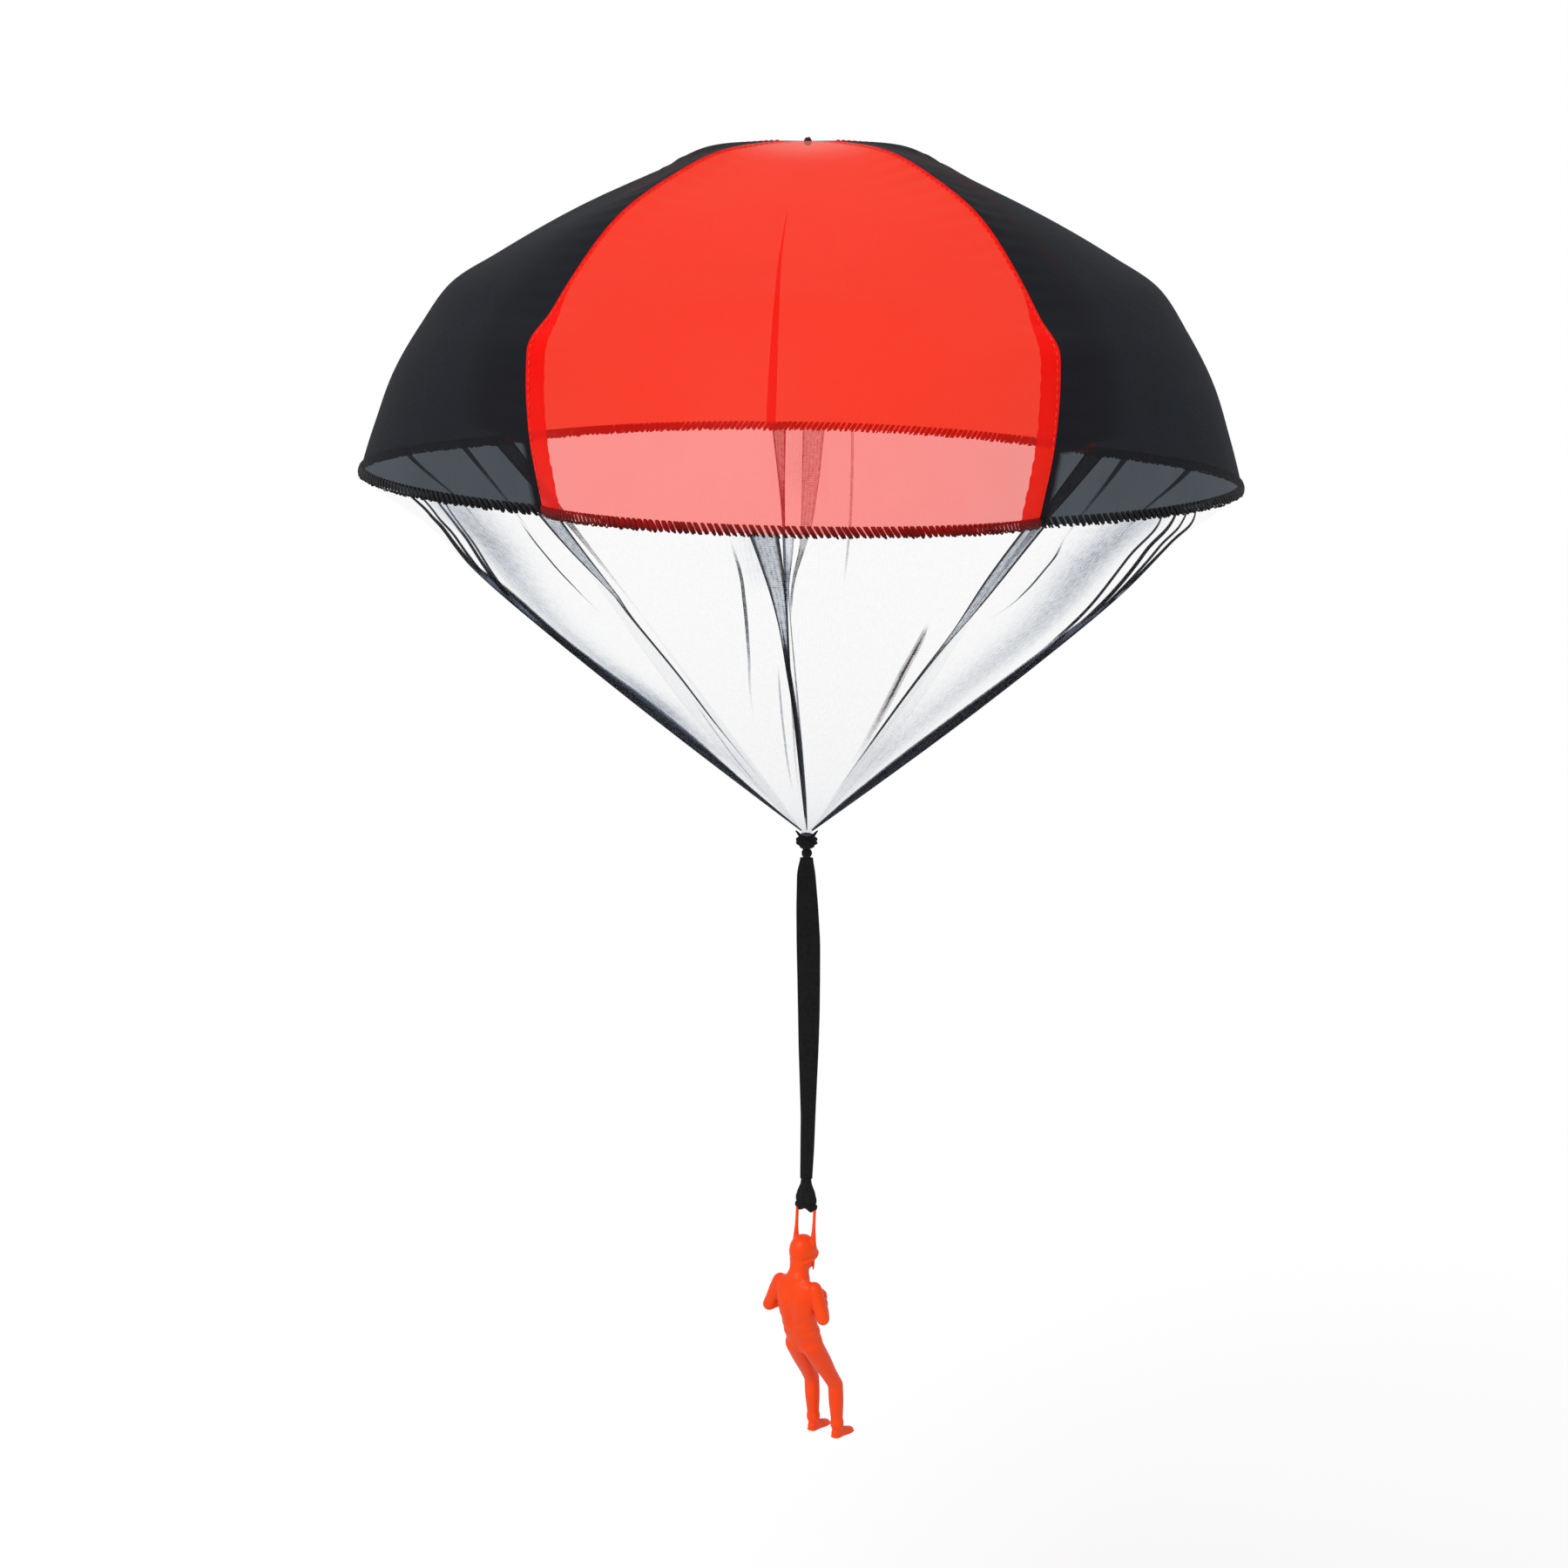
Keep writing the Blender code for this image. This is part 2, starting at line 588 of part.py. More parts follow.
def build_knot():
    """A lump of turns wound round the bunched net, with a seat underneath for the neck."""
    finish = material("strap_cloth", BLACK, 0.75)
    sides = KNOT_SIDES
    knot = ball("gather_knot", KNOT_HEIGHT / 2, [0, 0, 0], sides, KNOT_RINGS, finish)
    points = np.array([v.co for v in knot.data.vertices]) / (KNOT_HEIGHT / 2)
    azimuth = np.arctan2(points[:, 1], points[:, 0])
    level = np.sqrt(np.clip(1 - points[:, 2] ** 2, 0, 1))
    turns = np.cos(KNOT_TURNS * azimuth - KNOT_TURNS * math.pi * points[:, 2])
    points *= 1 + KNOT_WRAP_SHARE * (level * turns - level)[:, None]
    points *= np.array([KNOT_WIDTH, KNOT_DEPTH, KNOT_HEIGHT]) / 2
    points[:, 2] += KNOT_MIDDLE
    knot.data.vertices.foreach_set("co", points.ravel())
    hole = oval_rings(
        np.outer([KNOT_TOP - KNOT_HOLE_DEPTH - GAP, KNOT_TOP + CUT_OVERRUN], [0, 0, 1]),
        np.full(2, 2 * (NET_BUNCH_RADIUS + GAP)), np.full(2, 2 * (NET_BUNCH_RADIUS + GAP)), KNOT_SIDES,
    )
    combine(knot, loft("cut_net_hole", hole, finish), "DIFFERENCE")
    seat = ball("cut_knot_seat", NECK_RADIUS + GAP, PIVOT, BALL_SIDES, BALL_RINGS, finish)
    combine(knot, seat, "DIFFERENCE")
    bake(knot)


def build_neck():
    """The pinched cloth under the knot, round so that the strap can swing both ways on it."""
    finish = material("strap_cloth", BLACK, 0.75)
    neck = ball("strap_neck", NECK_RADIUS, PIVOT, BALL_SIDES, BALL_RINGS, finish)
    set_origin(neck, PIVOT)


def build_strap():
    """A band of cloth that opens out below its pinched top and closes again over the figure."""
    finish = material("strap_cloth", BLACK, 0.75)
    down = np.linspace(0, 1, STRAP_RINGS)
    opened = share_between(STRAP_WIDTH_SHARES, down)
    widths = STRAP_NECK_WIDTH + (STRAP_WIDTH - STRAP_NECK_WIDTH) * opened
    depths = STRAP_NECK_THICKNESS + (STRAP_THICKNESS - STRAP_NECK_THICKNESS) * opened
    path = np.outer(STRAP_TOP - down * STRAP_LENGTH, [0, 0, 1])
    rings = oval_rings(path, widths, depths, STRAP_SIDES, fullness=0.8)
    off_middle = rings[..., 0] / (STRAP_CREASE_SHARE * widths)[:, None]
    crease = STRAP_CREASE_DEPTH * opened[:, None] * np.exp(-(off_middle**2))
    rings[..., 1] += np.where(rings[..., 1] < 0, crease, 0)
    strap = loft("strap", rings, finish)
    seat = ball("cut_strap_seat", NECK_RADIUS + GAP, PIVOT, BALL_SIDES, BALL_RINGS, finish)
    combine(strap, seat, "DIFFERENCE")
    bake(strap)
    set_origin(strap, PIVOT)


def build_hitch():
    """The strap's end, fanned out and wrapped round the bail's top bar, along X until it is turned."""
    finish = material("strap_cloth", BLACK, 0.75)
    bore = BAIL_RADIUS + BEARING_GAP
    top = HITCH_HEIGHT
    floor = bore + SLEEVE_WALL / 4
    shares = smooth_curve(HITCH_FAN_SHARES, np.linspace(0, 1, HITCH_RINGS))
    path = np.outer(top + (floor - top) * shares[:, 0], [0, 0, 1])
    fan = oval_rings(path, shares[:, 1] * HITCH_WIDTH, shares[:, 2] * HITCH_DEPTH, HITCH_SIDES)
    hitch = loft("strap_hitch", fan, finish)
    half = SLEEVE_LENGTH / 2
    places = np.array([-half, SLEEVE_EDGE - half, half - SLEEVE_EDGE, half])
    widths = 2 * (bore + SLEEVE_WALL) - 2 * SLEEVE_EDGE * np.array([1, 0, 0, 1])
    along = np.outer(places, [1, 0, 0])
    sleeve = loft("part_sleeve", oval_rings(along, widths, widths, SLEEVE_SIDES, (0, 0, 1)), finish)
    combine(hitch, sleeve, "UNION")
    along = np.outer([-HITCH_WIDTH, HITCH_WIDTH], [1, 0, 0])
    widths = np.full(2, 2 * bore)
    combine(hitch, loft("cut_bore", oval_rings(along, widths, widths, SLEEVE_SIDES, (0, 0, 1)), finish),
            "DIFFERENCE")
    outer = bore + SLEEVE_WALL
    notch = np.array([
        [[0, y, -BAIL_RADIUS - GAP], [NOTCH_WIDTH / 2, y, -outer], [NOTCH_WIDTH / 2, y, -2 * outer],
         [-NOTCH_WIDTH / 2, y, -2 * outer], [-NOTCH_WIDTH / 2, y, -outer]]
        for y in (-HITCH_DEPTH, HITCH_DEPTH)
    ])
    combine(hitch, loft("cut_notch", notch, finish), "DIFFERENCE")
    bake(hitch)
    hitch.data.transform(Matrix.Rotation(FIGURE_TURN, 4, "Z"))
    hitch.data.transform(Matrix.Translation(BAIL_AXIS))
    set_origin(hitch, (0, 0, STRAP_BOTTOM))


# Figure

def both_sides(make):
    """The same body on the figure's right and on its left."""
    return [make(side) for side in (1, -1)]


def build_bail(finish):
    """One bent rod from one side of the helmet, over the top bar, to the other side."""
    half = BAIL_SPACING / 2
    turn = np.linspace(0, math.pi / 2, BAIL_CORNER_STEPS)
    corner = np.stack([
        BAIL_CORNER - half - BAIL_CORNER * np.cos(turn), 0 * turn, BAIL_CORNER * (np.sin(turn) - 1)
    ], -1)
    root = -HEAD_TOP - BAIL_ROOT_DEPTH
    side = [(-half, 0, root), (-half, 0, root / 2 - HEAD_TOP / 2), (-half, 0, -HEAD_TOP / 2)]
    left = np.concatenate([side, corner])
    path = np.concatenate([left, left[::-1] * [-1, 1, 1]])
    widths = np.full(len(path), 2 * BAIL_RADIUS)
    widths[[0, 1, -2, -1]] = BAIL_ROOT_WIDTH
    rings = oval_rings(path, widths, widths, BAIL_SIDES, (0, 1, 0))
    return loft("part_bail", rings, finish)


def build_head(finish):
    """A helmet with a rolled rim, tipped back over the brow, and a plain face with nose and chin."""
    axis = np.array([0, math.sin(HELMET_TILT), -math.cos(HELMET_TILT)])
    middle = np.array([0, -HEAD_BACK, -HEAD_TOP - HELMET_HEIGHT / 2])
    places, widths = np.array(HELMET_SHARES).T
    path = middle + np.outer(places * HELMET_HEIGHT / 2, axis)
    helmet = loft(
        "part_helmet", oval_rings(path, widths * HEAD_WIDTH, widths * HEAD_LENGTH, BODY_SIDES), finish
    )
    down, forward, widths, depths = np.array(FACE_SHARES).T
    level = -HEAD_TOP - down * HEAD_HEIGHT
    path = np.stack([0 * down, forward * HEAD_LENGTH - HEAD_BACK, level], -1)
    face = loft(
        "part_face", oval_rings(path, widths * HEAD_WIDTH, depths * HEAD_LENGTH, BODY_SIDES), finish
    )
    front = np.interp(NOSE_TOP_SHARE, down, path[:, 1] + depths * HEAD_LENGTH / 2)
    top = -HEAD_TOP - NOSE_TOP_SHARE * HEAD_HEIGHT
    nose = limb("part_nose", [
        (0, front - NOSE_WIDTH / 2, top, NOSE_WIDTH / 2, NOSE_WIDTH / 2),
        (0, front + NOSE_REACH - NOSE_WIDTH / 2, top - NOSE_LENGTH, NOSE_WIDTH, NOSE_WIDTH),
    ], 3, finish)
    neck = limb("part_neck", [
        (0, -NECK_BACK, middle[2], NECK_WIDTH, NECK_WIDTH),
        (0, -SHOULDER_BACK, -SHOULDER_DROP - NECK_WIDTH / 2, NECK_WIDTH, NECK_WIDTH),
    ], 3, finish)
    return [helmet, face, nose, neck]


def build_torso(finish):
    """Shoulders, waist and hips in one run of ovals, with a furrow down the back."""
    rows = smooth_curve(TORSO_SHARES, np.linspace(0, 1, TORSO_RINGS))
    down, forward, widths, depths = rows.T
    path = np.stack([0 * down, forward * TORSO_SWAY, -SHOULDER_DROP - down * TORSO_LENGTH], -1)
    rings = oval_rings(path, widths * CHEST_WIDTH, depths * CHEST_DEPTH, BODY_SIDES, fullness=0.9)
    furrow = SPINE_DEPTH * np.exp(-((rings[..., 0] / (SPINE_WIDTH / 2)) ** 2))
    rings[..., 1] += np.where(rings[..., 1] < path[:, None, 1], furrow, 0)
    return loft("part_torso", rings, finish)


def build_arm(side, finish):
    """An arm that hangs from the shoulder to a bent elbow, with the fist in front of the chest."""
    shoulder = np.array([
        side * (SHOULDER_WIDTH - UPPER_ARM_WIDTH) / 2, -SHOULDER_BACK, -SHOULDER_DROP - UPPER_ARM_WIDTH / 2
    ])
    elbow = np.array([
        side * ELBOW_SPACING / 2, -SHOULDER_BACK, -SHOULDER_DROP - ELBOW_DROP + ELBOW_WIDTH / 2
    ])
    hand = np.array([side * HAND_SPACING / 2, HAND_FORWARD, -SHOULDER_DROP - HAND_DROP])
    wrist = elbow + (hand - elbow) * WRIST_SHARE
    knuckles = elbow + (hand - elbow) * HAND_SHARE
    upper = limb(f"part_upper_arm_{side}", [
        (*shoulder, UPPER_ARM_WIDTH, UPPER_ARM_WIDTH), (*elbow, ELBOW_WIDTH, ELBOW_WIDTH)
    ], LIMB_RINGS, finish)
    lower = limb(f"part_forearm_{side}", [
        (*elbow, ELBOW_WIDTH, ELBOW_WIDTH), (*wrist, WRIST_WIDTH, WRIST_WIDTH),
        (*knuckles, HAND_SIZE, HAND_SIZE), (*hand, HAND_SIZE, HAND_SIZE),
    ], LIMB_RINGS, finish)
    return upper, lower


def build_leg(side, finish):
    """A leg with the thigh well forwards, the shin nearly upright and a boot on the ankle."""
    hip = np.array([side * HIP_SPACING / 2, HIP_FORWARD, -SHOULDER_DROP - HIP_DROP])
    knee = hip + THIGH_LENGTH * np.array([0, math.sin(THIGH_PITCH), -math.cos(THIGH_PITCH)])
    knee[0] = side * KNEE_SPACING / 2
    ankle = knee + SHIN_LENGTH * np.array([0, math.sin(SHIN_PITCH), -math.cos(SHIN_PITCH)])
    calf = knee + (ankle - knee) * CALF_SHARE
    thigh = limb(f"part_thigh_{side}", [
        (*hip, THIGH_WIDTH, THIGH_WIDTH), (*knee, KNEE_WIDTH, KNEE_WIDTH)
    ], LIMB_RINGS, finish)
    shin = limb(f"part_shin_{side}", [
        (*knee, KNEE_WIDTH, KNEE_WIDTH), (*calf, CALF_WIDTH, CALF_WIDTH),
        (*ankle, ANKLE_WIDTH, ANKLE_WIDTH),
    ], LIMB_RINGS, finish)
    along, widths, heights = np.array(BOOT_SHARES).T
    sole = ankle[2] - BOOT_HEIGHT / 2
    boot = limb(f"part_boot_{side}", np.stack([
        np.full_like(along, ankle[0]), ankle[1] - BOOT_HEEL + along * BOOT_LENGTH,
        sole + heights * BOOT_HEIGHT / 2, widths * BOOT_WIDTH, heights * BOOT_HEIGHT,
    ], -1), LIMB_RINGS, finish)
    return thigh, shin, boot


def hanging_angle(mesh):
    """How far to turn the figure about the bail so that its middle of volume is straight below."""
    solid = bmesh.new()
    solid.from_mesh(mesh)
    bmesh.ops.triangulate(solid, faces=solid.faces)
    corners = np.array([[v.co for v in face.verts] for face in solid.faces])
    solid.free()
    volumes = np.einsum("ij,ij->i", corners[:, 0], np.cross(corners[:, 1], corners[:, 2])) / 6
    _, forward, up = (corners.mean(axis=1) * volumes[:, None]).sum(axis=0) * 3 / 4
    return math.atan(forward / up)


def build_figure():
    """One moulding: helmeted figure and the bail that it hangs from."""
    finish = material("orange_plastic", ORANGE, 0.42)
    figure = build_torso(finish)
    figure.name = "figure"
    bodies = [build_bail(finish), *build_head(finish)]
    for arm in both_sides(lambda side: build_arm(side, finish)):
        bodies += arm
    for leg in both_sides(lambda side: build_leg(side, finish)):
        bodies += leg
    for body in bodies:
        combine(figure, body, "UNION")
    bake(figure)
    figure.data.transform(Matrix.Rotation(hanging_angle(figure.data), 4, "X"))
    figure.data.transform(Matrix.Rotation(FIGURE_TURN, 4, "Z"))
    figure.location = BAIL_AXIS


def main():
    clear_scene()
    build_gores()
    build_canopy_seams()
    build_crown_tack()
    build_hem()
    build_netting()
    build_knot()
    build_neck()
    build_strap()
    build_hitch()
    build_figure()


main()
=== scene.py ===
import math

import bpy
import numpy as np
from mathutils import Matrix


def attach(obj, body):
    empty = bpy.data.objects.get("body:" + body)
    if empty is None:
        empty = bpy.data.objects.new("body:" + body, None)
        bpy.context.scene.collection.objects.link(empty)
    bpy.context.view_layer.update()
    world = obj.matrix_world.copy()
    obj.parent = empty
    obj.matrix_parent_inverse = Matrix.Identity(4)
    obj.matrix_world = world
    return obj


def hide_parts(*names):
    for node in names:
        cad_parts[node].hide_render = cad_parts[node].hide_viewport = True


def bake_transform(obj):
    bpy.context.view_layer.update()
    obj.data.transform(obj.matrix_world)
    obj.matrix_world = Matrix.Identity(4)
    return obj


# Looks of a toy parachute: thin nylon gores, an overlocked hem, a tulle skirt, a cloth strap
# and a moulded figure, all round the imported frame. Lengths are in metres, angles in radians.

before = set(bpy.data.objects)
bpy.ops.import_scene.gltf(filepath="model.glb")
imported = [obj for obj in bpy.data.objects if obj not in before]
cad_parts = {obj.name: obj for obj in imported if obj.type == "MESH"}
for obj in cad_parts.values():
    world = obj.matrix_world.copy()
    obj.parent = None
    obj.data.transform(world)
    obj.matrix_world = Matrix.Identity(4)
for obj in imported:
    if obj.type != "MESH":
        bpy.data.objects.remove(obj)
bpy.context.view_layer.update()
mm = 0.001
pi = math.pi
dice = np.random.default_rng(11)
print("frame loaded, nodes:", len(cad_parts))


def smoothCurve(points, shares):
    # Hermite curve through the points: cubic between neighbours, slopes from central differences
    p = np.asarray(points, float)
    along = np.concatenate([[0], np.cumsum(np.linalg.norm(np.diff(p, axis=0), axis=1))])
    along /= along[-1]
    slope = np.gradient(p, along, axis=0)
    shares = np.asarray(shares, float)
    i = np.clip(np.searchsorted(along, shares, side="right") - 1, 0, len(along) - 2)
    step = (along[i + 1] - along[i])[..., None]
    u = (shares[..., None] - along[i][..., None]) / step
    first = (1 + 2 * u) * (1 - u) ** 2 * p[i] + u * (1 - u) ** 2 * step * slope[i]
    last = u * u * (3 - 2 * u) * p[i + 1] + u * u * (u - 1) * step * slope[i + 1]
    return first + last


def fromTable(table, at):
    # straight line between the rows of a table (place, value, value, ...), one array per value
    rows = np.array(table, float)
    return [np.interp(at, rows[:, 0], column) for column in rows[:, 1:].T]


def ease(low, high, x):
    # smooth step: 0 below low, 1 above high, cubic between
    t = np.clip((x - low) / (high - low), 0, 1)
    return t * t * (3 - 2 * t)


def bell(x, half):
    # 1 at 0, and e to the minus one at half
    return np.exp(-((x / half) ** 2))


def around(count):
    return np.linspace(0, 2 * pi, count, endpoint=False)


def outwards(azimuth):
    # level unit vectors that point away from the upright axis
    return np.stack([np.cos(azimuth), np.sin(azimuth), 0 * azimuth], -1)


def unit(vectors):
    # each vector over its own length
    return vectors / np.maximum(np.linalg.norm(vectors, axis=-1, keepdims=True), 1e-12)


def normalsOf(grid):
    # cross product of the steps down the rows and along the columns
    return unit(np.cross(np.gradient(grid, axis=0), np.gradient(grid, axis=1)))


def areaOf(points):
    # half the cross products of each cell's diagonals, added up
    a = points[1:, 1:] - points[:-1, :-1]
    b = points[1:, :-1] - points[:-1, 1:]
    return float(np.linalg.norm(np.cross(a, b), axis=-1).sum() / 2)


def gridFaces(rows, columns, closed=False):
    # each cell of a grid of points as four corner numbers; closed joins the last column to the first
    i, j = np.meshgrid(np.arange(rows - 1), np.arange(columns if closed else columns - 1), indexing="ij")
    k = (j + 1) % columns
    corners = [i * columns + j, (i + 1) * columns + j, (i + 1) * columns + k, i * columns + k]
    return np.stack(corners, -1).reshape(-1, 4)


def ringsFaces(rings):
    # a tube over a stack of rings, each end closed by one face
    count, sides = rings.shape[:2]
    faces = gridFaces(count, sides, True)[:, ::-1].tolist()
    return faces + [list(range(sides))[::-1], list(range((count - 1) * sides, count * sides))]


def loopFaces(count, sides):
    # a tube over rings whose last joins the first
    return gridFaces(count + 1, sides, True) % (count * sides)


def clothUv(rings):
    # u runs round the ring and v along the stack, both in metres of cloth
    edges = np.linalg.norm(np.diff(rings, axis=1, append=rings[:, :1]), axis=-1)
    u = np.concatenate([np.zeros((len(rings), 1)), np.cumsum(edges, axis=1)[:, :-1]], axis=1)
    step = np.linalg.norm(np.diff(rings.mean(axis=1), axis=0, prepend=rings[:1].mean(axis=1)), axis=1)
    return np.stack([u, np.cumsum(step)[:, None] + 0 * u], -1).reshape(-1, 2)


def joined(stacks):
    # the points and faces of several closed stacks of rings, as of one mesh
    points, faces, offset = [], [], 0
    for rings in stacks:
        points.append(rings.reshape(-1, 3))
        faces += [[i + offset for i in face] for face in ringsFaces(rings)]
        offset += len(points[-1])
    return np.concatenate(points), faces


def ovalRings(path, widths, depths, sides, across=(1, 0, 0), fullness=1.0):
    # ovals square to a path: side axis is `across` made square to the tangent; a power under 1 squares them
    tangent = unit(np.gradient(path, axis=0))
    across = np.broadcast_to(np.array(across, float), path.shape)
    side = unit(across - tangent * np.sum(tangent * across, axis=1, keepdims=True))
    other = np.cross(tangent, side)
    angle = around(sides)
    wide = np.sign(np.cos(angle)) * np.abs(np.cos(angle)) ** fullness
    deep = np.sign(np.sin(angle)) * np.abs(np.sin(angle)) ** fullness
    return (path[:, None] + side[:, None] * np.multiply.outer(widths / 2, wide)[..., None]
            + other[:, None] * np.multiply.outer(depths / 2, deep)[..., None])


def makePiece(name, points, faces, finish, uv=None, fields=None, body=None, stands=None):
    # a smooth-shaded mesh object; uv and the named fields hold one value for each point.
    # it rides on a body of the frame and may stand for a node of it
    mesh = bpy.data.meshes.new(name)
    faces = faces.tolist() if isinstance(faces, np.ndarray) else faces
    mesh.from_pydata(np.asarray(points, float).reshape(-1, 3).tolist(), [], faces)
    if uv is not None:
        corner = np.zeros(len(mesh.loops), np.int32)
        mesh.loops.foreach_get("vertex_index", corner)
        layer = mesh.uv_layers.new(name="cloth")
        layer.data.foreach_set("uv", np.asarray(uv, np.float32).reshape(-1, 2)[corner].ravel())
    for label, values in (fields or {}).items():
        data = mesh.attributes.new(label, "FLOAT", "POINT").data
        data.foreach_set("value", np.asarray(values, np.float32).ravel())
    mesh.materials.append(finish)
    mesh.shade_smooth()
    return settle(bpy.data.objects.new(name, mesh), body, stands)


def settle(piece, body, stands):
    # links the piece, then says what it rides on and which node it stands for
    bpy.context.scene.collection.objects.link(piece)
    if body:
        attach(piece, body)
    if stands:
        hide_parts(stands)
    return piece


def linear(code):
    # sRGB hex to linear light
    c = np.array([int(code[i:i + 2], 16) for i in (1, 3, 5)]) / 255
    return (*np.where(c <= 0.04045, c / 12.92, ((c + 0.055) / 1.055) ** 2.4).tolist(), 1)


def addNode(tree, kind, fields=None, inputs=None, out=0):
    # one node with its own fields set, each input given a value, a hex colour or another node's socket,
    # and one of its own outputs given back
    node = tree.nodes.new("ShaderNode" + kind)
    for label, value in (fields or {}).items():
        setattr(node, label, value)
    for label, value in (inputs or {}).items():
        if isinstance(value, bpy.types.NodeSocket):
            tree.links.new(value, node.inputs[label])
        else:
            node.inputs[label].default_value = linear(value) if isinstance(value, str) else value
    return node.outputs[out] if node.outputs else None


def makeMaterial(name, recipe, s):
    # recipe builds the shader from the settings s with its own add function
    made = bpy.data.materials.new(name)
    made.use_nodes = True
    made.node_tree.nodes.clear()
    add = lambda *call, **more: addNode(made.node_tree, *call, **more)
    add("OutputMaterial", {}, {"Surface": recipe(add, s)})
    return made


oneBand = 0.314  # the wave texture's scale that gives one band a metre


def thinNylon(add, s):
    # plain-woven nylon, dyed and calendered thin: light comes through it, so one layer is pale and two are deep.
    # cover is the share of light that meets a thread, and the rest takes the dye's tint as it passes
    cloth = add("UVMap", {"uv_map": "cloth"})
    place = add("TexCoord", out="Object")
    # threads are 0.25 mm apart in the real cloth, drawn 0.9 mm apart so that they show
    warp, weft = (add("TexWave", {"bands_direction": way}, {"Vector": cloth, "Scale": oneBand / s["threads"],
                                                            "Distortion": 0.6, "Detail": 1.0},
                                                            "Fac") for way in ("X", "Y"))
    weave = add("Math", {"operation": "MULTIPLY"}, {0: warp, 1: weft})
    slubAt = add("Mapping", {}, {"Vector": cloth, "Scale": (1 / s["slubWide"], 1 / s["slubLong"], 1)})
    slub = add("TexNoise", {}, {"Vector": slubAt, "Scale": 1.0, "Detail": 2.0})
    cloud = add("TexNoise", {}, {"Vector": place, "Scale": 1 / s["cloud"], "Detail": 4.0})
    drift = add("Mix", {"data_type": "FLOAT"}, {0: 0.75, 2: slub, 3: cloud})
    cover = add("MapRange", {}, {"Value": drift, "From Min": 0.3, "From Max": 0.7,
                                 "To Min": s["cover"] - s["coverDrift"],
                                 "To Max": s["cover"] + s["coverDrift"]})
    # the field "lined" is 1 where more cloth lies behind, so that no light comes through
    lined = add("Attribute", {"attribute_name": "lined"}, out="Fac")
    cover = add("Mix", {"data_type": "FLOAT"}, {0: lined, 2: cover, 3: 1.0})
    tone = add("Mix", {"data_type": "RGBA"}, {0: drift, 6: s["deep"], 7: s["colour"]}, 2)
    # round the tack the cloth is painted paler: a painted highlight that stands in for the sheen of the light on the
    # crown
    fromTack = add("VectorMath", {"operation": "LENGTH"}, {0: place}, "Value")
    crownHighlight = add("MapRange", {"interpolation_type": "SMOOTHSTEP"}, {
        "Value": fromTack, "From Min": 14 * mm, "From Max": s["strained"], "To Min": 1.0, "To Max": 0.0})
    tone = add("Mix", {"data_type": "RGBA"}, {0: crownHighlight, 6: tone, 7: s["strainedTone"]}, 2)
    bump = add("Bump", {}, {"Height": weave, "Strength": s["relief"], "Distance": 0.1 * mm})
    face = add("BsdfPrincipled", {}, {
        "Base Color": tone, "Roughness": s["roughness"], "Normal": bump, "Sheen Weight": s["sheen"],
        "Sheen Roughness": 0.4, "Sheen Tint": "#FFFFFF", "Specular IOR Level": s["gloss"]})
    through = add("BsdfTranslucent", {}, {"Color": s["glow"]})
    body = add("MixShader", {}, {0: s["through"], 1: face, 2: through})
    clear = add("BsdfTransparent", {}, {"Color": (*s["tint"], 1)})
    return add("MixShader", {}, {0: cover, 1: clear, 2: body})


def knottedTulle(add, s):
    # warp-knitted nylon tulle: nearly clear where it lies single, black where it is folded or gathered.
    # the field "cover" says how much cloth is there; the mesh shows where that is little, and is lost where it is 1
    cloth = add("UVMap", {"uv_map": "cloth"})
    cover = add("Attribute", {"attribute_name": "cover"}, out="Fac")
    # holes are 1.2 mm in the real net, drawn 1.9 mm so that they show
    holes = add("TexVoronoi", {"feature": "DISTANCE_TO_EDGE", "voronoi_dimensions": "2D"},
                {"Vector": cloth, "Scale": 1 / s["holes"], "Randomness": 0.2})
    strands = add("MapRange", {}, {"Value": holes, "From Min": 0.04, "From Max": 0.22,
                                   "To Min": s["strand"], "To Max": s["hole"]})
    crumpleAt = add("Mapping", {}, {"Vector": cloth, "Scale": (1 / s["crumpleWide"], 1 / s["crumpleLong"], 1)})
    crumple = add("TexNoise", {}, {"Vector": crumpleAt, "Scale": 1.0, "Detail": 4.0, "Roughness": 0.65})
    uneven = add("MapRange", {}, {"Value": crumple, "From Min": 0.35, "From Max": 0.65,
                                  "To Min": s["least"], "To Max": s["most"]})
    pattern = add("Math", {"operation": "MULTIPLY"}, {0: strands, 1: uneven})
    # seen = cover + cover * (1 - cover) * (pattern - 1)
    left = add("Math", {"operation": "SUBTRACT", "use_clamp": True}, {0: 1.0, 1: cover})
    most = add("Math", {"operation": "MULTIPLY"}, {0: cover, 1: left})
    swing = add("Math", {"operation": "SUBTRACT"}, {0: pattern, 1: 1.0})
    seen = add("Math", {"operation": "MULTIPLY_ADD", "use_clamp": True}, {0: most, 1: swing, 2: cover})
    # where the cover is slight the threads take the pale blue-grey tone, painted shade that gives the soft bands their
    # shadow colour; where it is heavy they are the tulle's own black
    dark = add("MapRange", {}, {"Value": seen, "From Min": 0.62, "From Max": 0.88})
    tone = add("Mix", {"data_type": "RGBA"}, {0: dark, 6: s["thin"], 7: s["colour"]}, 2)
    thread = add("BsdfPrincipled", {}, {"Base Color": tone, "Roughness": 0.7, "Specular IOR Level": 0.1})
    return add("MixShader", {}, {0: seen, 1: add("BsdfTransparent"), 2: thread})


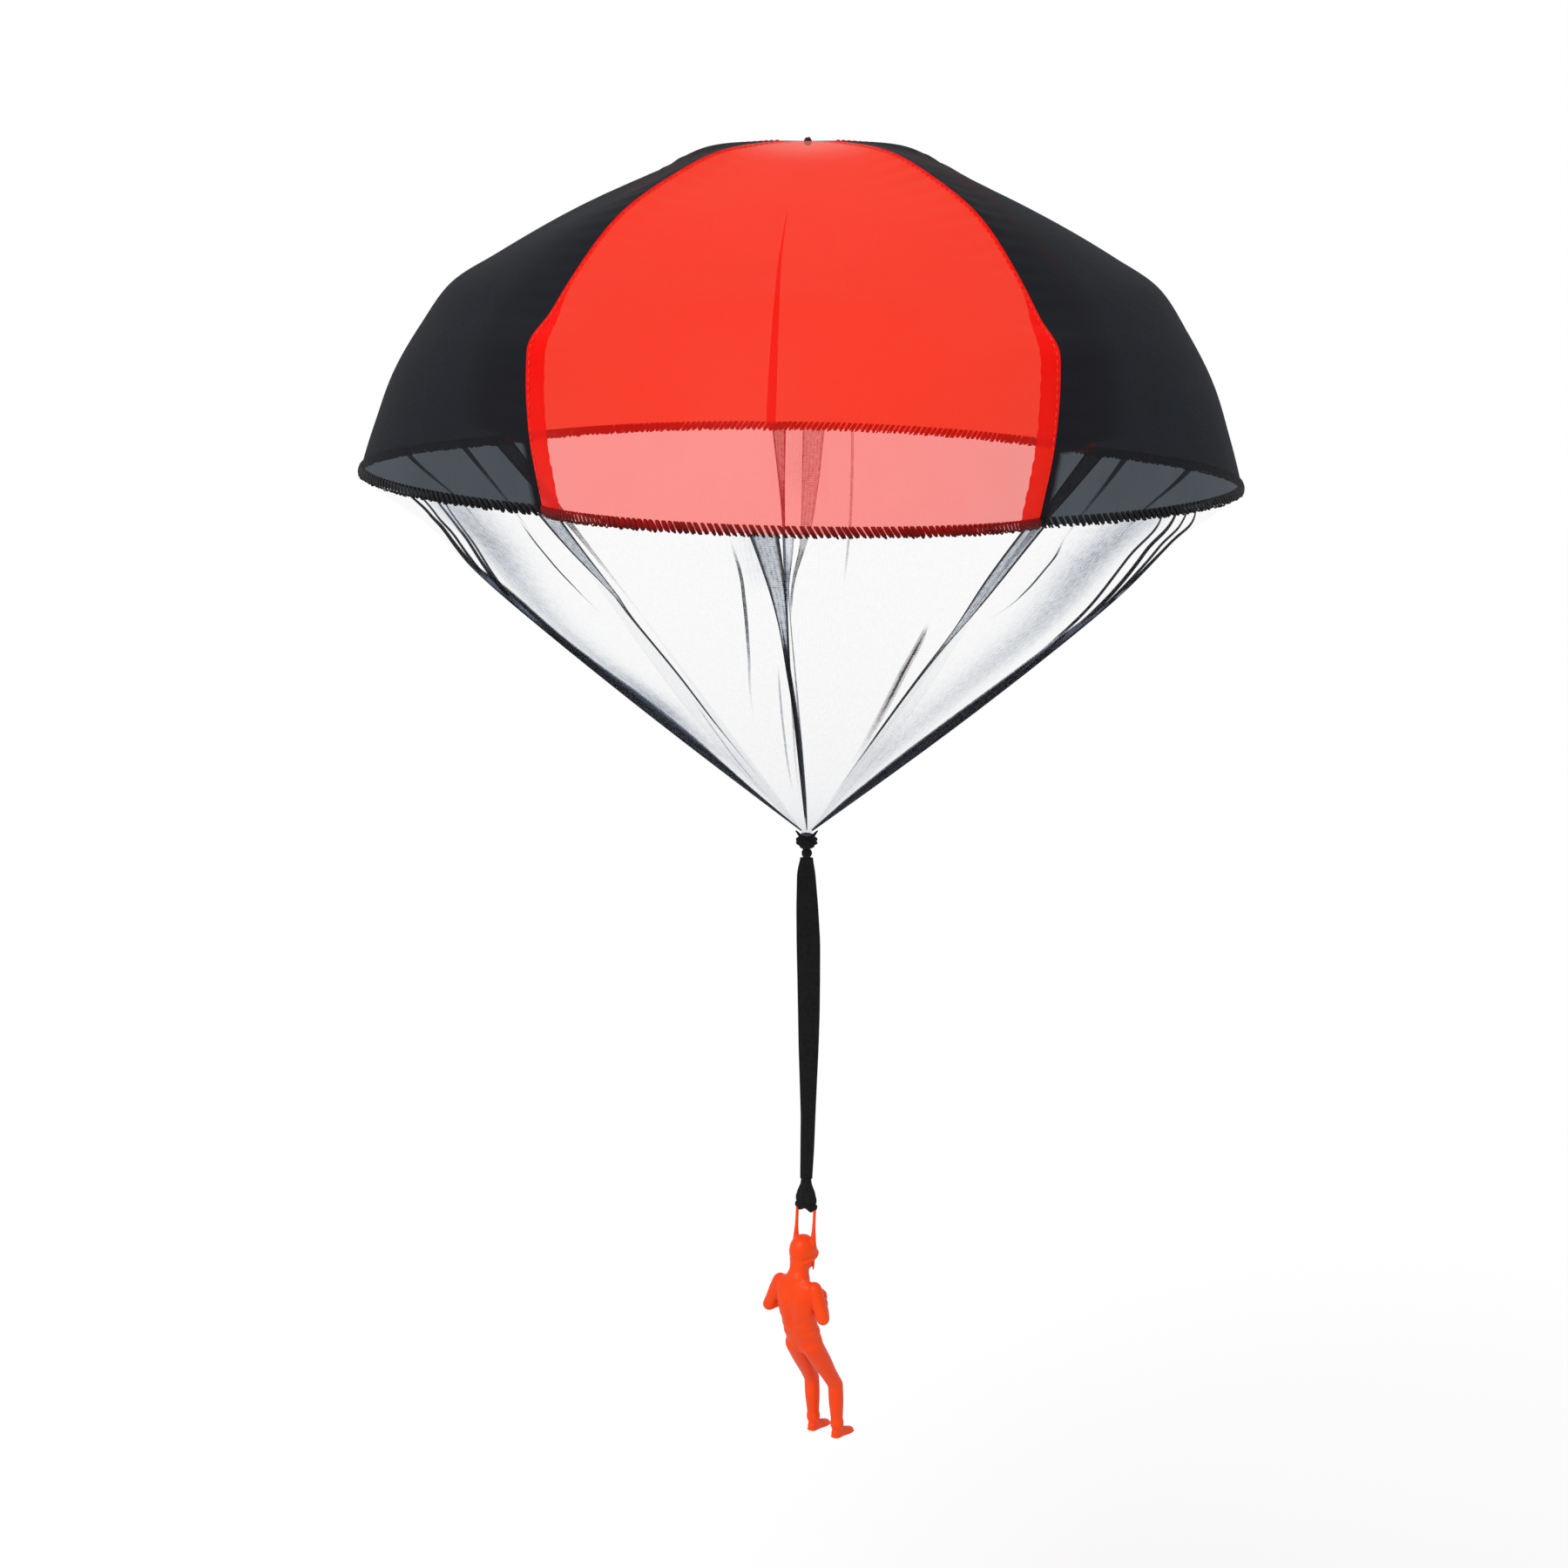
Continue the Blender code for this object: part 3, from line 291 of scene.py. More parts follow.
def brushedCloth(add, s):
    # soft black woven band: matt, with a fine twill line and pale lint in soft patches
    cloth = add("UVMap", {"uv_map": "cloth"})
    turned = add("Mapping", {}, {"Vector": cloth, "Rotation": (0, 0, math.radians(52))})
    twill = add("TexWave", {"bands_direction": "X"}, {"Vector": turned, "Scale": oneBand / s["twill"],
                                                      "Distortion": 1.5, "Detail": 1.0}, "Fac")
    lint = add("TexNoise", {}, {"Vector": add("TexCoord", out="Object"), "Scale": 1 / s["lint"], "Detail": 4.0,
                                "Roughness": 0.7})
    pale = add("MapRange", {}, {"Value": lint, "From Min": 0.35, "From Max": 0.75})
    tone = add("Mix", {"data_type": "RGBA"}, {0: pale, 6: s["deep"], 7: s["colour"]}, 2)
    height = add("Math", {"operation": "ADD"}, {0: twill, 1: lint})
    bump = add("Bump", {}, {"Height": height, "Strength": 0.5, "Distance": 0.12 * mm})
    return add("BsdfPrincipled", {}, {
        "Base Color": tone, "Roughness": s["roughness"], "Normal": bump, "Sheen Weight": s["sheen"],
        "Sheen Roughness": 0.5, "Specular IOR Level": 0.15})


def spunThread(add, s):
    # spun polyester sewing thread: round, slightly glossy, its plies twisted every millimetre.
    # the field "tone" takes it from the deep colour at 0 to the other at 1
    place = add("TexCoord", out="Object")
    field = add("Attribute", {"attribute_name": "tone"}, out="Fac")
    ply = add("TexWave", {"bands_direction": "DIAGONAL"}, {"Vector": place, "Scale": oneBand / s["ply"],
                                                           "Distortion": 2.0, "Detail": 1.0}, "Fac")
    patch = add("TexNoise", {}, {"Vector": place, "Scale": 1 / s["patch"], "Detail": 2.0})
    mixed = add("Math", {"operation": "MULTIPLY_ADD", "use_clamp": True}, {0: patch, 1: 0.2, 2: field})
    tone = add("Mix", {"data_type": "RGBA"}, {0: mixed, 6: s["deep"], 7: s["colour"]}, 2)
    bump = add("Bump", {}, {"Height": ply, "Strength": 0.4, "Distance": 0.1 * mm})
    return add("BsdfPrincipled", {}, {
        "Base Color": tone, "Roughness": 0.55, "Normal": bump, "Specular IOR Level": s["gloss"]})


def mouldedPolyethylene(add, s):
    # injection-moulded orange polyethylene: waxy, evenly coloured, a faint flow pattern and soft highlights
    place = add("TexCoord", out="Object")
    flow = add("TexNoise", {}, {"Vector": place, "Scale": 1 / s["flow"], "Detail": 3.0})
    grain = add("TexNoise", {}, {"Vector": place, "Scale": 1 / s["grain"], "Detail": 2.0})
    tone = add("Mix", {"data_type": "RGBA"}, {0: flow, 6: s["deep"], 7: s["colour"]}, 2)
    dull = add("MapRange", {}, {"Value": flow, "To Min": s["roughness"] - s["drift"],
                                "To Max": s["roughness"] + s["drift"]})
    bump = add("Bump", {}, {"Height": grain, "Strength": 0.25, "Distance": 0.08 * mm})
    return add("BsdfPrincipled", {}, {
        "Base Color": tone, "Roughness": dull, "Normal": bump, "IOR": 1.5, "Specular IOR Level": s["gloss"]})


# the last two settings paint a highlight round the crown: how far it reaches and its colour
nylonWeave = {"threads": 0.9 * mm, "slubWide": 2.2 * mm, "slubLong": 40 * mm, "cloud": 30 * mm,
              "strained": 60 * mm, "strainedTone": "#FFB4AA"}
redDye = {**nylonWeave, "colour": "#FF1C08", "deep": "#FF1002", "glow": "#FF1A04", "cover": 0.42,
          "coverDrift": 0.02,
          "through": 0.45, "relief": 0.35, "roughness": 0.5, "sheen": 0.3, "gloss": 0.2}
redNylon = makeMaterial("wovenRedNylon", thinNylon, {**redDye, "tint": (1.0, 0.50, 0.47)})
# the back gore's copy of the same red nylon has a deeper tint: painted shade, so that the two layers seen through the
# front gore look deeper
shadedRedNylon = makeMaterial("wovenRedNylonPaintedShade", thinNylon, {**redDye, "tint": (1.0, 0.25, 0.14)})
# its first setting is the colour of the painted highlight round the crown
blackNylon = makeMaterial("wovenBlackNylon", thinNylon, {
    **nylonWeave, "strainedTone": "#34373D", "colour": "#222328", "deep": "#1B1C20", "glow": "#16181C",
    "tint": (0.74, 0.90, 1.0), "cover": 0.92, "coverDrift": 0.01, "through": 0.3, "relief": 0.35,
    "roughness": 0.75, "sheen": 0.0, "gloss": 0.08})
redAllowance = makeMaterial("pressedRedAllowance", thinNylon, {
    **nylonWeave, "colour": "#FF1A02", "deep": "#F81200", "glow": "#FF1A02", "tint": (1.0, 0.12, 0.03),
    "cover": 0.8,
    "coverDrift": 0.03, "through": 0.5, "relief": 0.5, "roughness": 0.6, "sheen": 0.0, "gloss": 0.12})
# the thin tone is the painted shadow colour of sparse net and of the soft bands
tulle = makeMaterial("knittedBlackTulle", knottedTulle, {
    "holes": 1.9 * mm, "strand": 1.6, "hole": 0.7, "crumpleWide": 2.4 * mm, "crumpleLong": 5 * mm,
    "least": 0.6, "most": 1.4, "thin": "#76879E", "colour": "#040405"})
strapCloth = makeMaterial("brushedBlackBand", brushedCloth, {
    "twill": 0.8 * mm, "lint": 2.2 * mm, "colour": "#151517", "deep": "#08080A", "roughness": 0.85,
    "sheen": 0.03})
hemThread = makeMaterial("spunBlackThread", spunThread, {
    "ply": 0.9 * mm, "patch": 14 * mm, "colour": "#1F1E22", "deep": "#08080A", "gloss": 0.15})
redHemThread = makeMaterial("spunDarkRedThread", spunThread, {
    "ply": 0.9 * mm, "patch": 9 * mm, "colour": "#C01610", "deep": "#120305", "gloss": 0.12})
redStitch = makeMaterial("spunRedThread", spunThread, {
    "ply": 0.9 * mm, "patch": 9 * mm, "colour": "#FF5A3C", "deep": "#E82A12", "gloss": 0.2})
orangePlastic = makeMaterial("mouldedOrangePolyethylene", mouldedPolyethylene, {
    "flow": 16 * mm, "grain": 0.9 * mm, "colour": "#EC4804", "deep": "#E43600", "roughness": 0.45,
    "drift": 0.08,
    "gloss": 0.2})
print("materials made")

canopy = {
    "radius": 210 * mm, "depth": 157 * mm, "lean": math.radians(1.1), "tackHeight": 1.8 * mm,
    "hemHeight": 5.5 * mm,
    "crownRadius": 0.9 * mm,
    "gores": {"front": (-132.7, -52.1), "right": (-52.1, 40), "back": (40, 140), "left": (140, 227.3)},
    # rows of (radius share, depth share): down the middle of a gore, down a front seam and down a back seam
    "middle": [(0, 0), (0.10, 0.007), (0.20, 0.03), (0.437, 0.15), (0.70, 0.335), (0.796, 0.42),
               (0.864, 0.55), (0.927, 0.70), (0.968, 0.85), (1, 1)],
    "frontSeam": [(0, 0), (0.15, 0.003), (0.282, 0.023), (0.438, 0.094), (0.592, 0.20), (0.721, 0.36),
                  (0.785, 0.46), (0.85, 0.555), (0.853, 0.60), (0.847, 0.78), (0.803, 1.029)],
    "backSeam": [(0, 0), (0.15, 0.003), (0.31, 0.025), (0.464, 0.11), (0.637, 0.23), (0.781, 0.37),
                 (0.894, 0.58), (0.938, 0.78), (0.958, 1.013)],
    "seams": {"front": ("frontSeam", "frontSeam"), "right": ("frontSeam", "backSeam"),
              "back": ("backSeam", "backSeam"), "left": ("backSeam", "frontSeam")},
    "pleatAt": 0.543, "pleatDepth": 3 * mm, "pleatWidth": 14 * mm,
    "rows": 170, "columns": 130, "reach": 0.9995, "linedLow": 5 * mm, "linedHigh": 44 * mm,
    "pucker": 0.45 * mm, "puckerLength": 11 * mm, "puckerReach": 14 * mm, "billow": 0.7 * mm,
}
canopySize = np.array([canopy["radius"], canopy["depth"]])
profileLength = float(np.linalg.norm(np.diff(np.array(canopy["middle"]) * canopySize, axis=0), axis=1).sum())
hemMiddle = 1 - canopy["hemHeight"] / 2 / profileLength
goreSpan = {gore: tuple(math.radians(a) for a in ends) for gore, ends in canopy["gores"].items()}
# the back gore takes the copy of the red nylon darkened as painted shade
goreFinish = {"front": redNylon, "back": shadedRedNylon, "left": blackNylon, "right": blackNylon}


def leanOver(points):
    # lower on the right by x times the slope, in step with the depth, and a little to the left with the depth
    slope = math.tan(canopy["lean"])
    x, y, z = np.moveaxis(points, -1, 0)
    return np.stack([x + slope * z, y, z + slope * x * z / canopy["depth"]], -1)


def canopyPoints(gore, down, across):
    # radius and depth come from the seams' profiles, mixed along the gore, and its middle profile by a parabola
    start, end = goreSpan[gore]
    middle = smoothCurve(np.array(canopy["middle"]) * canopySize, down)
    first, last = (smoothCurve(np.array(canopy[seam]) * canopySize, down) for seam in canopy["seams"][gore])
    seam = first + (last - first) * across[..., None]
    bulge = (1 - (2 * across - 1) ** 2)[..., None]
    radius, depth = np.moveaxis(seam + (middle - seam) * bulge, -1, 0)
    if gore == "back":
        off = (across - canopy["pleatAt"]) * (end - start) * radius
        radius = radius - canopy["pleatDepth"] * bell(off, canopy["pleatWidth"] / 2) * ease(0.3, 0.85, down)
    points = outwards(start + (end - start) * across) * radius[..., None]
    points[..., 2] = -depth
    return leanOver(points) - [0, 0, canopy["tackHeight"]]


def arcOf(gore, points):
    # length round the row of a grid: its mean radius times the gore's angle
    start, end = goreSpan[gore]
    return np.linalg.norm(points[..., :2], axis=-1).mean(axis=1, keepdims=True) * (end - start)


def goreCloth(gore):
    # the panel with small ripples square to the seams, fading inwards, and a slow billow that is 0 at its edges
    down = np.linspace(canopy["crownRadius"] / profileLength, canopy["reach"], canopy["rows"])[:, None]
    down, across = np.broadcast_arrays(down, np.linspace(0, 1, canopy["columns"])[None, :])
    points = canopyPoints(gore, down, across)
    arc = arcOf(gore, points)
    edge = np.minimum(across, 1 - across)
    along = down * profileLength
    phase = 2 * pi * along / canopy["puckerLength"] + np.where(across < 0.5, 0.0,
                                                               2.1) + 1.3 * np.sin(along / 0.031)
    near = np.exp(-edge * arc / canopy["puckerReach"]) * ease(0.08, 0.3, down) * ease(0, 2.5 * mm, edge * arc)
    ripple = canopy["pucker"] * np.sin(phase) * near * ease(1, 0.96, down)
    inner = ease(0, 0.12, edge) * ease(0.98, 0.88, down) * ease(0.02, 0.1, down)
    billow = canopy["billow"] * (np.sin(9 * across + 5 * down) * np.sin(7 * down + 2) - 1) * inner
    points = points + normalsOf(points) * (ripple + billow)[..., None]
    # the front seams' allowances lie inside the black panels and line them, wider above the bend
    fromFront = {"left": (1 - across) * arc, "right": across * arc}.get(gore, np.ones_like(across))
    reach = canopy["linedLow"] + (canopy["linedHigh"] - canopy["linedLow"]) * ease(0.888, 0.862, down)
    crown = 0.9 * ease(0.42, 0.2, down) * (gore in ("left", "right"))
    uv = np.stack([(across - 0.5) * arc, along], -1)
    return points, uv, np.maximum(ease(reach, 0.5 * reach, fromFront), crown)


for gore in goreSpan:
    points, uv, lined = goreCloth(gore)
    piece = makePiece("cloth_gore_" + gore, points, gridFaces(*points.shape[:2]), goreFinish[gore], uv,
                      {"lined": lined}, "canopy", "gore_" + gore)
print("gores made")

# seam allowances are pressed to the red side and stitched down
allowance = {"width": 8.6 * mm, "frontWidth": 11 * mm, "inside": 0.7 * mm, "rows": 190, "columns": 7,
             "fray": 0.5 * mm, "narrow": 0.16, "standing": 0.85, "stitchFrom": 2.4 * mm,
             "stitchLength": 2.6 * mm,
             "stitchPitch": 3.6 * mm, "stitchRadius": 0.28 * mm, "stitchLift": 0.1 * mm}
seamEnds = {("front", "left"): 0, ("front", "right"): 1, ("back", "right"): 0, ("back", "left"): 1}
small = 1e-3  # the step in which slopes are taken


def seamStrip(gore, end, downs, inset, inside):
    # points of a strip along one edge of a gore, at inset from the seam, and the normals there
    down = downs[:, None] + 0 * inset
    edge = canopyPoints(gore, downs, np.full_like(downs, float(end)))
    start, stop = goreSpan[gore]
    arc = np.linalg.norm(edge[:, :2], axis=1)[:, None] * (stop - start)
    share = np.clip(inset / arc, 0, 0.45)
    across = share if end == 0 else 1 - share
    points = canopyPoints(gore, down, across)
    lower = canopyPoints(gore, np.clip(down + small, 0, 1), across) - canopyPoints(gore, down - small, across)
    ahead = (canopyPoints(gore, down, np.clip(across + small, 0, 1))
             - canopyPoints(gore, down, np.clip(across - small, 0, 1)))
    normal = unit(np.cross(lower, ahead))
    return points - normal * inside, normal


def makeAllowance(gore, side, end):
    # a front strip turns over to the black side above the bend in the seam, so only its edge shows there
    downs = np.linspace(0.045, canopy["reach"], allowance["rows"])
    share = np.linspace(0, 1, allowance["columns"])[None, :]
    ragged = allowance["fray"] * (np.sin(downs * 260) * 0.5 + dice.uniform(-1, 1, len(downs)) * 0.5)
    shown = ease(0.60, 0.74, downs) if gore == "front" else np.ones_like(downs)
    shown = allowance["narrow"] + (1 - allowance["narrow"]) * shown
    width = allowance["frontWidth" if gore == "front" else "width"]
    inset = share * ((width * ease(0.0, 0.12, downs) + ragged) * shown)[:, None]
    points, _ = seamStrip(gore, end, downs, inset, allowance["inside"])
    if gore == "front":
        # below the bend the panels meet at a corner, and the strip's free edge stands straight across it
        azimuth = goreSpan[gore][end]
        way = np.array([-math.sin(azimuth), math.cos(azimuth), 0]) * (1 - 2 * end)
        straight = points[:, :1] + inset[..., None] * way
        points = points + (straight - points) * (shown[:, None] * allowance["standing"])[..., None]
    edge = canopyPoints(gore, downs, np.full_like(downs, float(end)))
    points = points + (edge[:, None] - points[:, :1]) * ease(0.3, 0, share)[..., None]
    uv = np.stack([inset, downs[:, None] * profileLength + 0 * inset], -1)
    faces = gridFaces(*points.shape[:2])
    return makePiece(f"allowance_{gore}_{side}", points, faces[:, ::-1] if end == 1 else faces, redAllowance,
                     uv,
                     None, "canopy", f"seam_{gore}_{side}")


def capsules(starts, ends, lifts, radius, sides=6):
    # short stitches: each a tube of five rings between two points, its middle raised along lift, its ends narrow
    share = np.array([0, 0.15, 0.5, 0.85, 1.0])
    bow = np.array([-0.4, 0.55, 1.0, 0.55, -0.4])
    thick = np.array([0.25, 0.85, 1.0, 0.85, 0.25])
    side = unit(np.cross(unit(ends - starts), lifts))
    up = np.cross(side, unit(ends - starts))
    path = starts[:, None] + (ends - starts)[:, None] * share[None, :, None] + up[:,
                                                                                  None] * (bow * radius)[None, :, None]
    angle = around(sides)[None, None, :, None]
    ring = side[:, None, None] * np.cos(angle) + up[:, None, None] * np.sin(angle)
    points = path[:, :, None] + ring * (thick * radius)[None, :, None, None]
    offset = (np.arange(len(starts)) * len(share) * sides)[:, None, None]
    faces = (gridFaces(len(share), sides, True)[None] + offset).reshape(-1, 4).tolist()
    first = np.arange(sides)[None, :] + offset[:, :, 0]
    faces += first.tolist() + (first[:, ::-1] + (len(share) - 1) * sides).tolist()
    return points.reshape(-1, 3), faces


def makeSeamStitches(gore, side, end):
    # a row of stitches through gore and allowance, seen on the gore's outer face
    count = int(profileLength * 0.9 / allowance["stitchPitch"])
    middle = np.linspace(0.07, 0.965, count)
    half = allowance["stitchLength"] / 2 / profileLength
    inset = np.full((count, 1), allowance["stitchFrom"]) * ease(0.0, 0.12, middle)[:, None]
    a, normal = seamStrip(gore, end, middle - half, inset, -allowance["stitchLift"])
    b, _ = seamStrip(gore, end, middle + half, inset, -allowance["stitchLift"])
    points, faces = capsules(a[:, 0], b[:, 0], normal[:, 0], allowance["stitchRadius"])
    return makePiece(f"seam_stitches_{gore}_{side}", points, faces, redStitch, None, None, "canopy", None)


seamPieces = {seam: (makeAllowance(*seam, end), makeSeamStitches(*seam, end)) for seam, end in seamEnds.items()}
print("seam allowances and stitches made")

# the middle of the back gore is folded over itself from the hem up
pleat = {"top": 0.45, "rows": 120, "columns": 7, "hemWidth": 4.8 * mm, "narrow": 0.12, "inside": 0.9 * mm}


def makePleat():
    # a tongue along the pleat, its width growing smoothly from nearly nothing at the top to its full width at the hem
    downs = np.linspace(pleat["top"], canopy["reach"], pleat["rows"])
    width = pleat["hemWidth"] * (pleat["narrow"] + (1 - pleat["narrow"]) * ease(pleat["top"], 1.0, downs))
    start, end = goreSpan["back"]
    middle = canopyPoints("back", downs, np.full_like(downs, canopy["pleatAt"]))
    arc = np.linalg.norm(middle[:, :2], axis=1) * (end - start)
    share = np.linspace(-0.5, 0.5, pleat["columns"])[None, :]
    across = canopy["pleatAt"] + share * (width / arc)[:, None]
    points = canopyPoints("back", downs[:, None] + 0 * across, across)
    points = points - normalsOf(points) * pleat["inside"]
    uv = np.stack([share * width[:, None], downs[:, None] * profileLength + 0 * across], -1)
    # the pleat is cut from the back gore's red nylon, darkened as painted shade
    return makePiece("back_pleat", points, gridFaces(*points.shape[:2]), shadedRedNylon, uv, None, "canopy",
                     None)


backPleat = makePleat()

# the hem: overlock threads wound round the cloth's edge
hem = {
    "pitch": 3.0 * mm, "threadsEach": 2, "threadGap": 0.85 * mm, "threadRadius": 0.48 * mm, "flat": 0.6,
    "slant": 0.62, "threadSteps": 16, "threadSides": 6, "half": 2.3 * mm, "past": 0.9 * mm, "ragged": 0.45 * mm,
    "jitter": 0.2, "thickness": 1.0 * mm, "lowTone": 0.0, "highTone": 0.3, "insideTone": 0.5,
}
threadsAt = 1 - (hem["half"] - hem["past"]) / profileLength


def goreRim(gore, down, across):
    # points at one share of the profile with the three ways there: forwards round the rim, down the cloth and out
    here = canopyPoints(gore, down, across)
    lower = unit(here - canopyPoints(gore, down - small, across))
    ahead = unit(canopyPoints(gore, down, across + small) - canopyPoints(gore, down, across - small))
    return here, ahead, lower, unit(np.cross(lower, ahead))


def makeHem(gore):
    # overlock threads: each a closed loop round the cloth's edge, moved along the rim in step with its height.
    # two lie side by side and a gap follows; their lower ends stand past the edge by different lengths
    across = np.linspace(0, 1, 200)
    rim = canopyPoints(gore, np.full_like(across, threadsAt), across)
    run = np.concatenate([[0], np.cumsum(np.linalg.norm(np.diff(rim, axis=0), axis=1))])
    groups = int(round(run[-1] / hem["pitch"]))
    middle = (np.arange(groups) + 0.5) * run[-1] / groups
    order = np.arange(hem["threadsEach"]) - (hem["threadsEach"] - 1) / 2
    places = (middle[:, None] + order[None, :] * hem["threadGap"]).ravel()
    places = places + dice.uniform(-hem["jitter"], hem["jitter"], len(places)) * mm
    share = np.interp(places, run, across)
    here, ahead, lower, out = goreRim(gore, np.full_like(share, threadsAt), np.clip(share, 0.002, 0.998))
    turn, sides = around(hem["threadSteps"])[None, :], hem["threadSides"]
    radius = hem["threadRadius"] * dice.uniform(0.88, 1.08, len(share))
    below = (hem["half"] + hem["ragged"] * dice.uniform(-1, 1, len(share)))[:, None]
    height = np.where(np.sin(turn) > 0, below, hem["half"]) * np.sin(turn)
    slant = hem["slant"] * dice.uniform(0.85, 1.15, len(share))[:, None]
    path = (here[:, None] + out[:, None] * (hem["thickness"] * np.cos(turn))[..., None]
            + lower[:, None] * height[..., None] + ahead[:, None] * (slant * height)[..., None])
    tangent = unit(np.roll(path, -1, axis=1) - np.roll(path, 1, axis=1))
    side = unit(ahead[:, None] - tangent * np.sum(tangent * ahead[:, None], axis=-1, keepdims=True))
    other = np.cross(tangent, side)
    angle, size = around(sides)[None, None, :, None], radius[:, None, None, None]
    points = (path[:, :, None] + side[:, :, None] * np.cos(angle) * size
              + other[:, :, None] * np.sin(angle) * size * hem["flat"])
    high = hem["lowTone"] + (hem["highTone"] - hem["lowTone"]) * ease(hem["half"], -hem["half"], height)
    tone = np.broadcast_to(np.where(np.cos(turn) > 0, high, hem["insideTone"])[:, :, None], points.shape[:3])
    offset = (np.arange(len(share)) * hem["threadSteps"] * sides)[:, None, None]
    faces = (loopFaces(hem["threadSteps"], sides)[None, :, ::-1] + offset).reshape(-1, 4)
    finish = redHemThread if gore in ("front", "back") else hemThread
    makePiece("overlock_" + gore, points, faces, finish, None, {"tone": tone}, "canopy", "hem_" + gore)


for gore in goreSpan:
    makeHem(gore)
print("hem threads made")

tack = {"radius": 2.0 * mm, "height": 4.2 * mm, "turns": 5, "threadRadius": 0.42 * mm,
        "coreTop": -0.5 * mm, "coreBottom": -3.9 * mm}


def makeTack():
    # a thread wound up in a helix round a nub, narrower at both ends, with its start and end tucked in
    t = np.linspace(0, 1, 240)
    body = tack["radius"] * (0.45 + 0.55 * np.sin(pi * np.clip(t * 0.9 + 0.05, 0, 1))) - tack["threadRadius"]
    path = outwards(2 * pi * tack["turns"] * t) * body[:, None]
    path[:, 2] = -tack["threadRadius"] - (tack["height"] - 2 * tack["threadRadius"]) * t
    size = np.full(len(t), 2 * tack["threadRadius"])
    core = np.outer(np.linspace(tack["coreTop"], tack["coreBottom"], 9), [0, 0, 1])
    wide = 2 * tack["radius"] * np.array([0.3, 0.62, 0.75, 0.8, 0.8, 0.78, 0.7, 0.55, 0.3])
    points, faces = joined([ovalRings(path, size, size, 8, (0, 0, 1)), ovalRings(core, wide, wide, 16)])
    makePiece("crown_thread", points, faces, redHemThread, None, None, "canopy", "crown_tack")


makeTack()
print("crown tack made")

net = {
    # how far each panel hangs out, how high its three waves are, how far its middle fold is drawn in,
    # and how far it is drawn in just under the hem
    "sag": {"front": 9 * mm, "right": 3.2 * mm, "back": 9 * mm, "left": 2.5 * mm},
    "wave": {"front": 2.4 * mm, "right": 1.0 * mm, "back": 2.4 * mm, "left": 0.8 * mm},
    "middle": {"front": 6.3 * mm, "right": 0, "back": 6.3 * mm, "left": 0},
    "tuck": {"front": 0, "right": 3.6 * mm, "back": 0, "left": 3.4 * mm}, "tuckAt": 0.12, "tuckHalf": 0.11,
    "seamIn": 2.4 * mm, "foldShare": 0.043, "waves": 3,
    "bunch": 2.9 * mm, "bunchTop": -334.7 * mm, "tail": 2.4 * mm, "gap": 0.3 * mm,
    "rows": 190, "columns": 190, "cover": 0.028, "gather": 0.45, "drawn": 0.986, "wrinkle": 0.5 * mm,
    "middles": {"front": 0.47, "right": 0.57, "back": 0.53, "left": 0.43}, "long": 330 * mm, "rimShare": 0.95,
}


def netPoints(gore, down, across):
    # straight runs from the hem to a small ring in the knot, pushed outwards by a sine of the way down:
    # the push is the sag less a cosine for the waves, a bell at each seam and one at the middle fold
    start, end = goreSpan[gore]
    rim = canopyPoints(gore, np.ones_like(down), across)
    rim = rim + unit(rim - canopyPoints(gore, np.full_like(down, hemMiddle), across)) * net["gap"]
    out = outwards(start + (end - start) * across)
    run = out * net["bunch"] + np.array([0, 0, net["bunchTop"]]) - rim
    outward = unit(np.cross(np.cross(run, out), run))
    fromEdge = np.minimum(across, 1 - across)
    sag, crest = net["sag"][gore], net["wave"][gore]
    swell = sag - crest * np.cos(2 * pi * net["waves"] * across)
    swell = swell - (sag - crest + net["seamIn"]) * bell(fromEdge, net["foldShare"])
    swell = swell - net["middle"][gore] * bell(across - net["middles"][gore], net["foldShare"])
    tuck = net["tuck"][gore] * bell(down - net["tuckAt"], net["tuckHalf"]) * ease(0, 0.3,
                                                                                  fromEdge) * ease(-0.02,
                                                                                                   0.15, down)
    return rim + run * down[..., None] + outward * (swell * np.sin(pi * down) - tuck)[..., None]


def netAround(down, azimuth):
    # the net's point for any azimuth: the panel that holds it gives the point
    turn = (azimuth - goreSpan["front"][0]) % (2 * pi) + goreSpan["front"][0]
    found = np.zeros(turn.shape + (3,))
    for gore, (start, end) in goreSpan.items():
        inside = (turn >= start) & (turn <= end)
        points = netPoints(gore, down, np.clip((turn - start) / (end - start), 0, 1))
        found = np.where(inside[..., None], points, found)
    return found


def netNormal(down, azimuth):
    # cross product of small steps down and round the net, pointing outwards
    step = 2e-3
    lower = netAround(np.clip(down + step, 0, 1), azimuth) - netAround(np.clip(down - step, 0, 1), azimuth)
    return unit(np.cross(lower, netAround(down, azimuth + step) - netAround(down, azimuth - step)))


